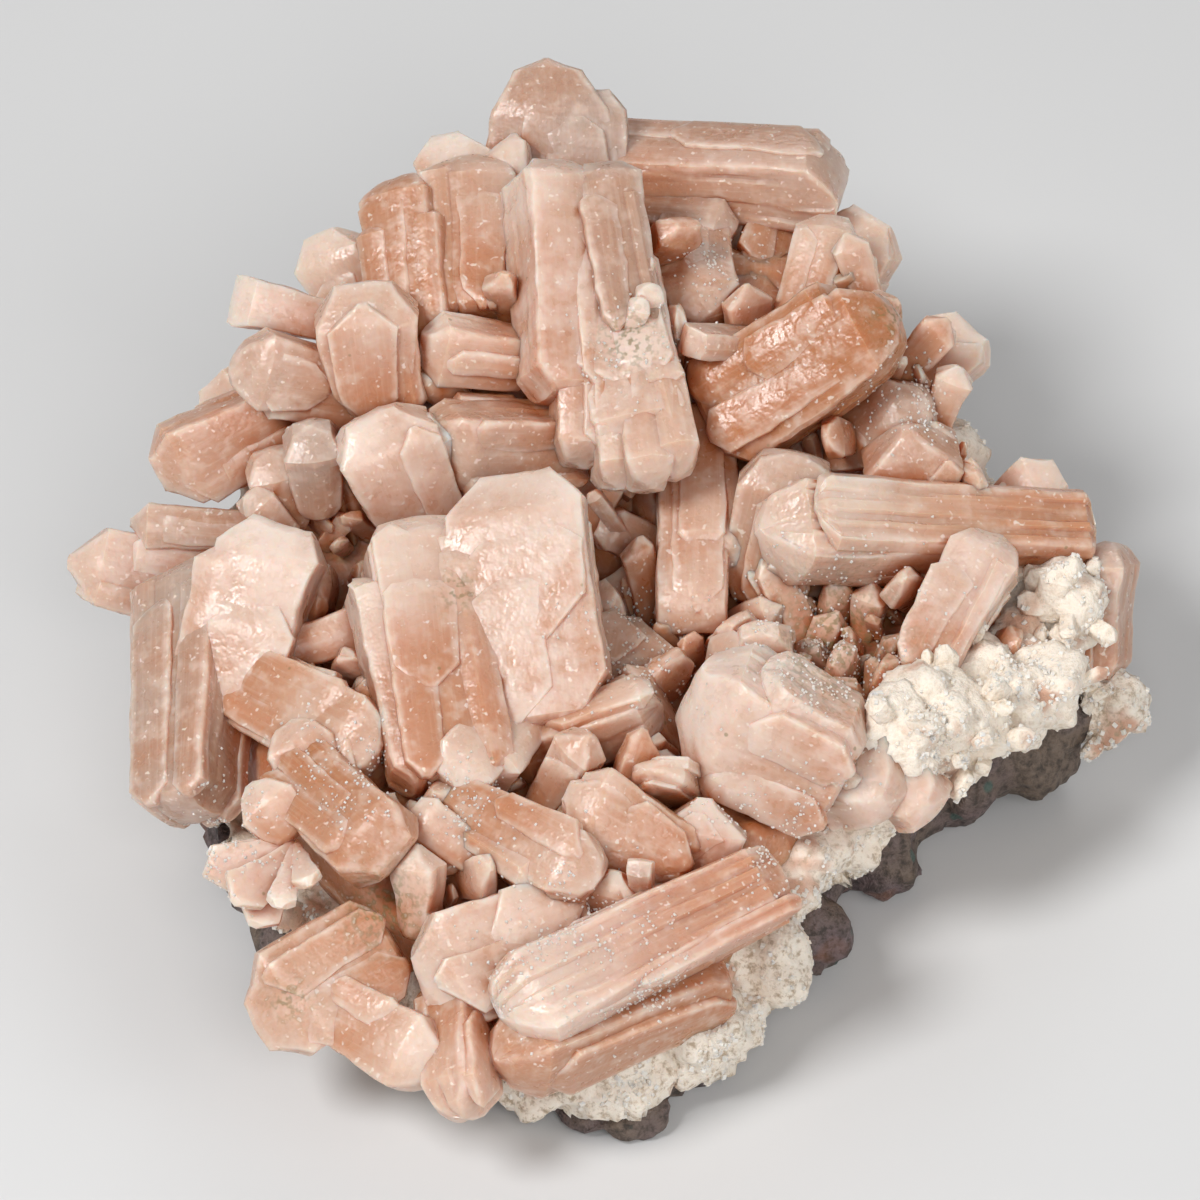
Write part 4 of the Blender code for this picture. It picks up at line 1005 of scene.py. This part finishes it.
# The tree scatters small blocks where a surface's attribute "sugary" is high.
grains_tree = bpy.data.node_groups.new("sugar_grains", "GeometryNodeTree")
sockets = {}
for name, kind, start in (
    ("Surface", "Geometry", None), ("Grains per square metre", "Float", 1.5e6),
    ("Patches per metre", "Float", 200.0), ("Smallest", "Float", 0.25 * MM),
    ("Largest", "Float", 0.6 * MM), ("Seed", "Int", 4), ("Material", "Material", None),
):
    socket = grains_tree.interface.new_socket(name, in_out="INPUT",
                                              socket_type="NodeSocket" + kind)
    if start is not None:
        socket.default_value = start
    sockets[name] = socket.identifier
grains_tree.interface.new_socket("Grains", in_out="OUTPUT", socket_type="NodeSocketGeometry")
given = grains_tree.nodes.new("NodeGroupInput").outputs
sugary = add_node(grains_tree, "GeometryNodeInputNamedAttribute", {"Name": "sugary"},
                  data_type="FLOAT")
patches = add_node(grains_tree, "ShaderNodeTexNoise", {"Scale": given["Patches per metre"]})
patches = add_node(grains_tree, "ShaderNodeMapRange", {"Value": patches, "From Min": 0.46,
                                                       "From Max": 0.60})
patches = add_node(grains_tree, "ShaderNodeMath", {0: patches, 1: sugary}, operation="MULTIPLY")
density = add_node(grains_tree, "ShaderNodeMath",
                   {0: given["Grains per square metre"], 1: patches}, operation="MULTIPLY")
points = add_node(grains_tree, "GeometryNodeDistributePointsOnFaces",
                  {"Mesh": given["Surface"], "Density": density, "Seed": given["Seed"]})
turn = add_node(grains_tree, "FunctionNodeRandomValue",
                {0: (0.0, 0.0, 0.0), 1: (6.28, 6.28, 6.28), "Seed": given["Seed"]},
                data_type="FLOAT_VECTOR")
size = add_node(grains_tree, "FunctionNodeRandomValue",
                {2: given["Smallest"], 3: given["Largest"], "Seed": given["Seed"]}, 1,
                data_type="FLOAT")
block = add_node(grains_tree, "GeometryNodeMeshCube", {"Size": (1.0, 0.8, 0.7)})
grains = add_node(grains_tree, "GeometryNodeInstanceOnPoints",
                  {"Points": points, "Instance": block, "Rotation": turn, "Scale": size})
grains = add_node(grains_tree, "GeometryNodeRealizeInstances", {"Geometry": grains})
grains = add_node(grains_tree, "GeometryNodeSetMaterial",
                  {"Geometry": grains, "Material": given["Material"]})
grains_out = grains_tree.nodes.new("NodeGroupOutput")
grains_tree.links.new(grains, grains_out.inputs[0])


def sugar_on(bodies, name, node, amount, patches, smallest, largest):
    """One piece with the grains that lie on some bodies."""
    points, faces = surface_of(bodies)
    mesh = bpy.data.meshes.new(name)
    mesh.from_pydata(points, [], faces)
    values = []
    for body in bodies:
        own = np.empty(len(body.data.vertices))
        body.data.attributes["sugary"].data.foreach_get("value", own)
        values.append(own)
    mesh.attributes.new("sugary", "FLOAT", "POINT").data.foreach_set("value",
                                                                     np.concatenate(values))
    piece = bpy.data.objects.new(name, mesh)
    bpy.context.scene.collection.objects.link(piece)
    scatter = piece.modifiers.new("grains", "NODES")
    scatter.node_group = grains_tree
    scatter[sockets["Grains per square metre"]] = amount
    scatter[sockets["Patches per metre"]] = patches
    scatter[sockets["Smallest"]] = smallest * MM
    scatter[sockets["Largest"]] = largest * MM
    scatter[sockets["Seed"]] = 4
    scatter[sockets["Material"]] = granules
    evaluated = piece.evaluated_get(bpy.context.evaluated_depsgraph_get())
    piece.data = bpy.data.meshes.new_from_object(evaluated)
    piece.data.name = name
    piece.modifiers.clear()
    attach(piece, "root")
    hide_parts(node)
    return piece


sugar_on([crust, spikes], "sugar_on_crust", "pale_crust", 1.5e6, 200.0, 0.25, 0.6)
sugar_on(crystals, "sugar_on_crystals", "stilbite_crystals", 4.5e6, 330.0, 0.12, 0.32)

# Floor and light
# A pale table top and soft studio lights: a broad key from the upper left, and weaker ones from
# the front, the right and the back.
FLOOR_SIZE = 3.0
floor_mesh = bpy.data.meshes.new("table_top")
half = FLOOR_SIZE / 2
floor_mesh.from_pydata([(-half, -half, 0.0), (half, -half, 0.0), (half, half, 0.0),
                        (-half, half, 0.0)], [], [(0, 1, 2, 3)])
floor = bpy.data.objects.new("table_top", floor_mesh)
bpy.context.scene.collection.objects.link(floor)
table_top = bpy.data.materials.new("pale_table_top")
table_top.use_nodes = True
shader = table_top.node_tree.nodes["Principled BSDF"]
shader.inputs["Base Color"].default_value = linear("#D9D9D9")
shader.inputs["Roughness"].default_value = 0.7
floor_mesh.materials.append(table_top)

for name, place, size, power in (
    ("key", (-0.42, -0.30, 0.72), 0.28, 5.2),
    ("front", (0.10, -0.65, 0.60), 0.4, 2.2),
    ("fill", (0.7, -0.5, 0.45), 0.7, 2.3),
    ("back", (0.1, 0.7, 0.6), 0.6, 1.6),
):
    lamp = bpy.data.lights.new(name, "AREA")
    lamp.shape, lamp.size, lamp.energy = "DISK", size, power
    holder = bpy.data.objects.new(name, lamp)
    holder.location = place
    holder.rotation_euler = Vector(place).to_track_quat("Z", "Y").to_euler()
    bpy.context.scene.collection.objects.link(holder)

room = bpy.data.worlds.new("studio")
room.use_nodes = True
room.node_tree.nodes["Background"].inputs["Color"].default_value = linear("#E6E6E6")
room.node_tree.nodes["Background"].inputs["Strength"].default_value = 0.18
bpy.context.scene.world = room
bpy.context.scene.view_settings.view_transform = "Standard"
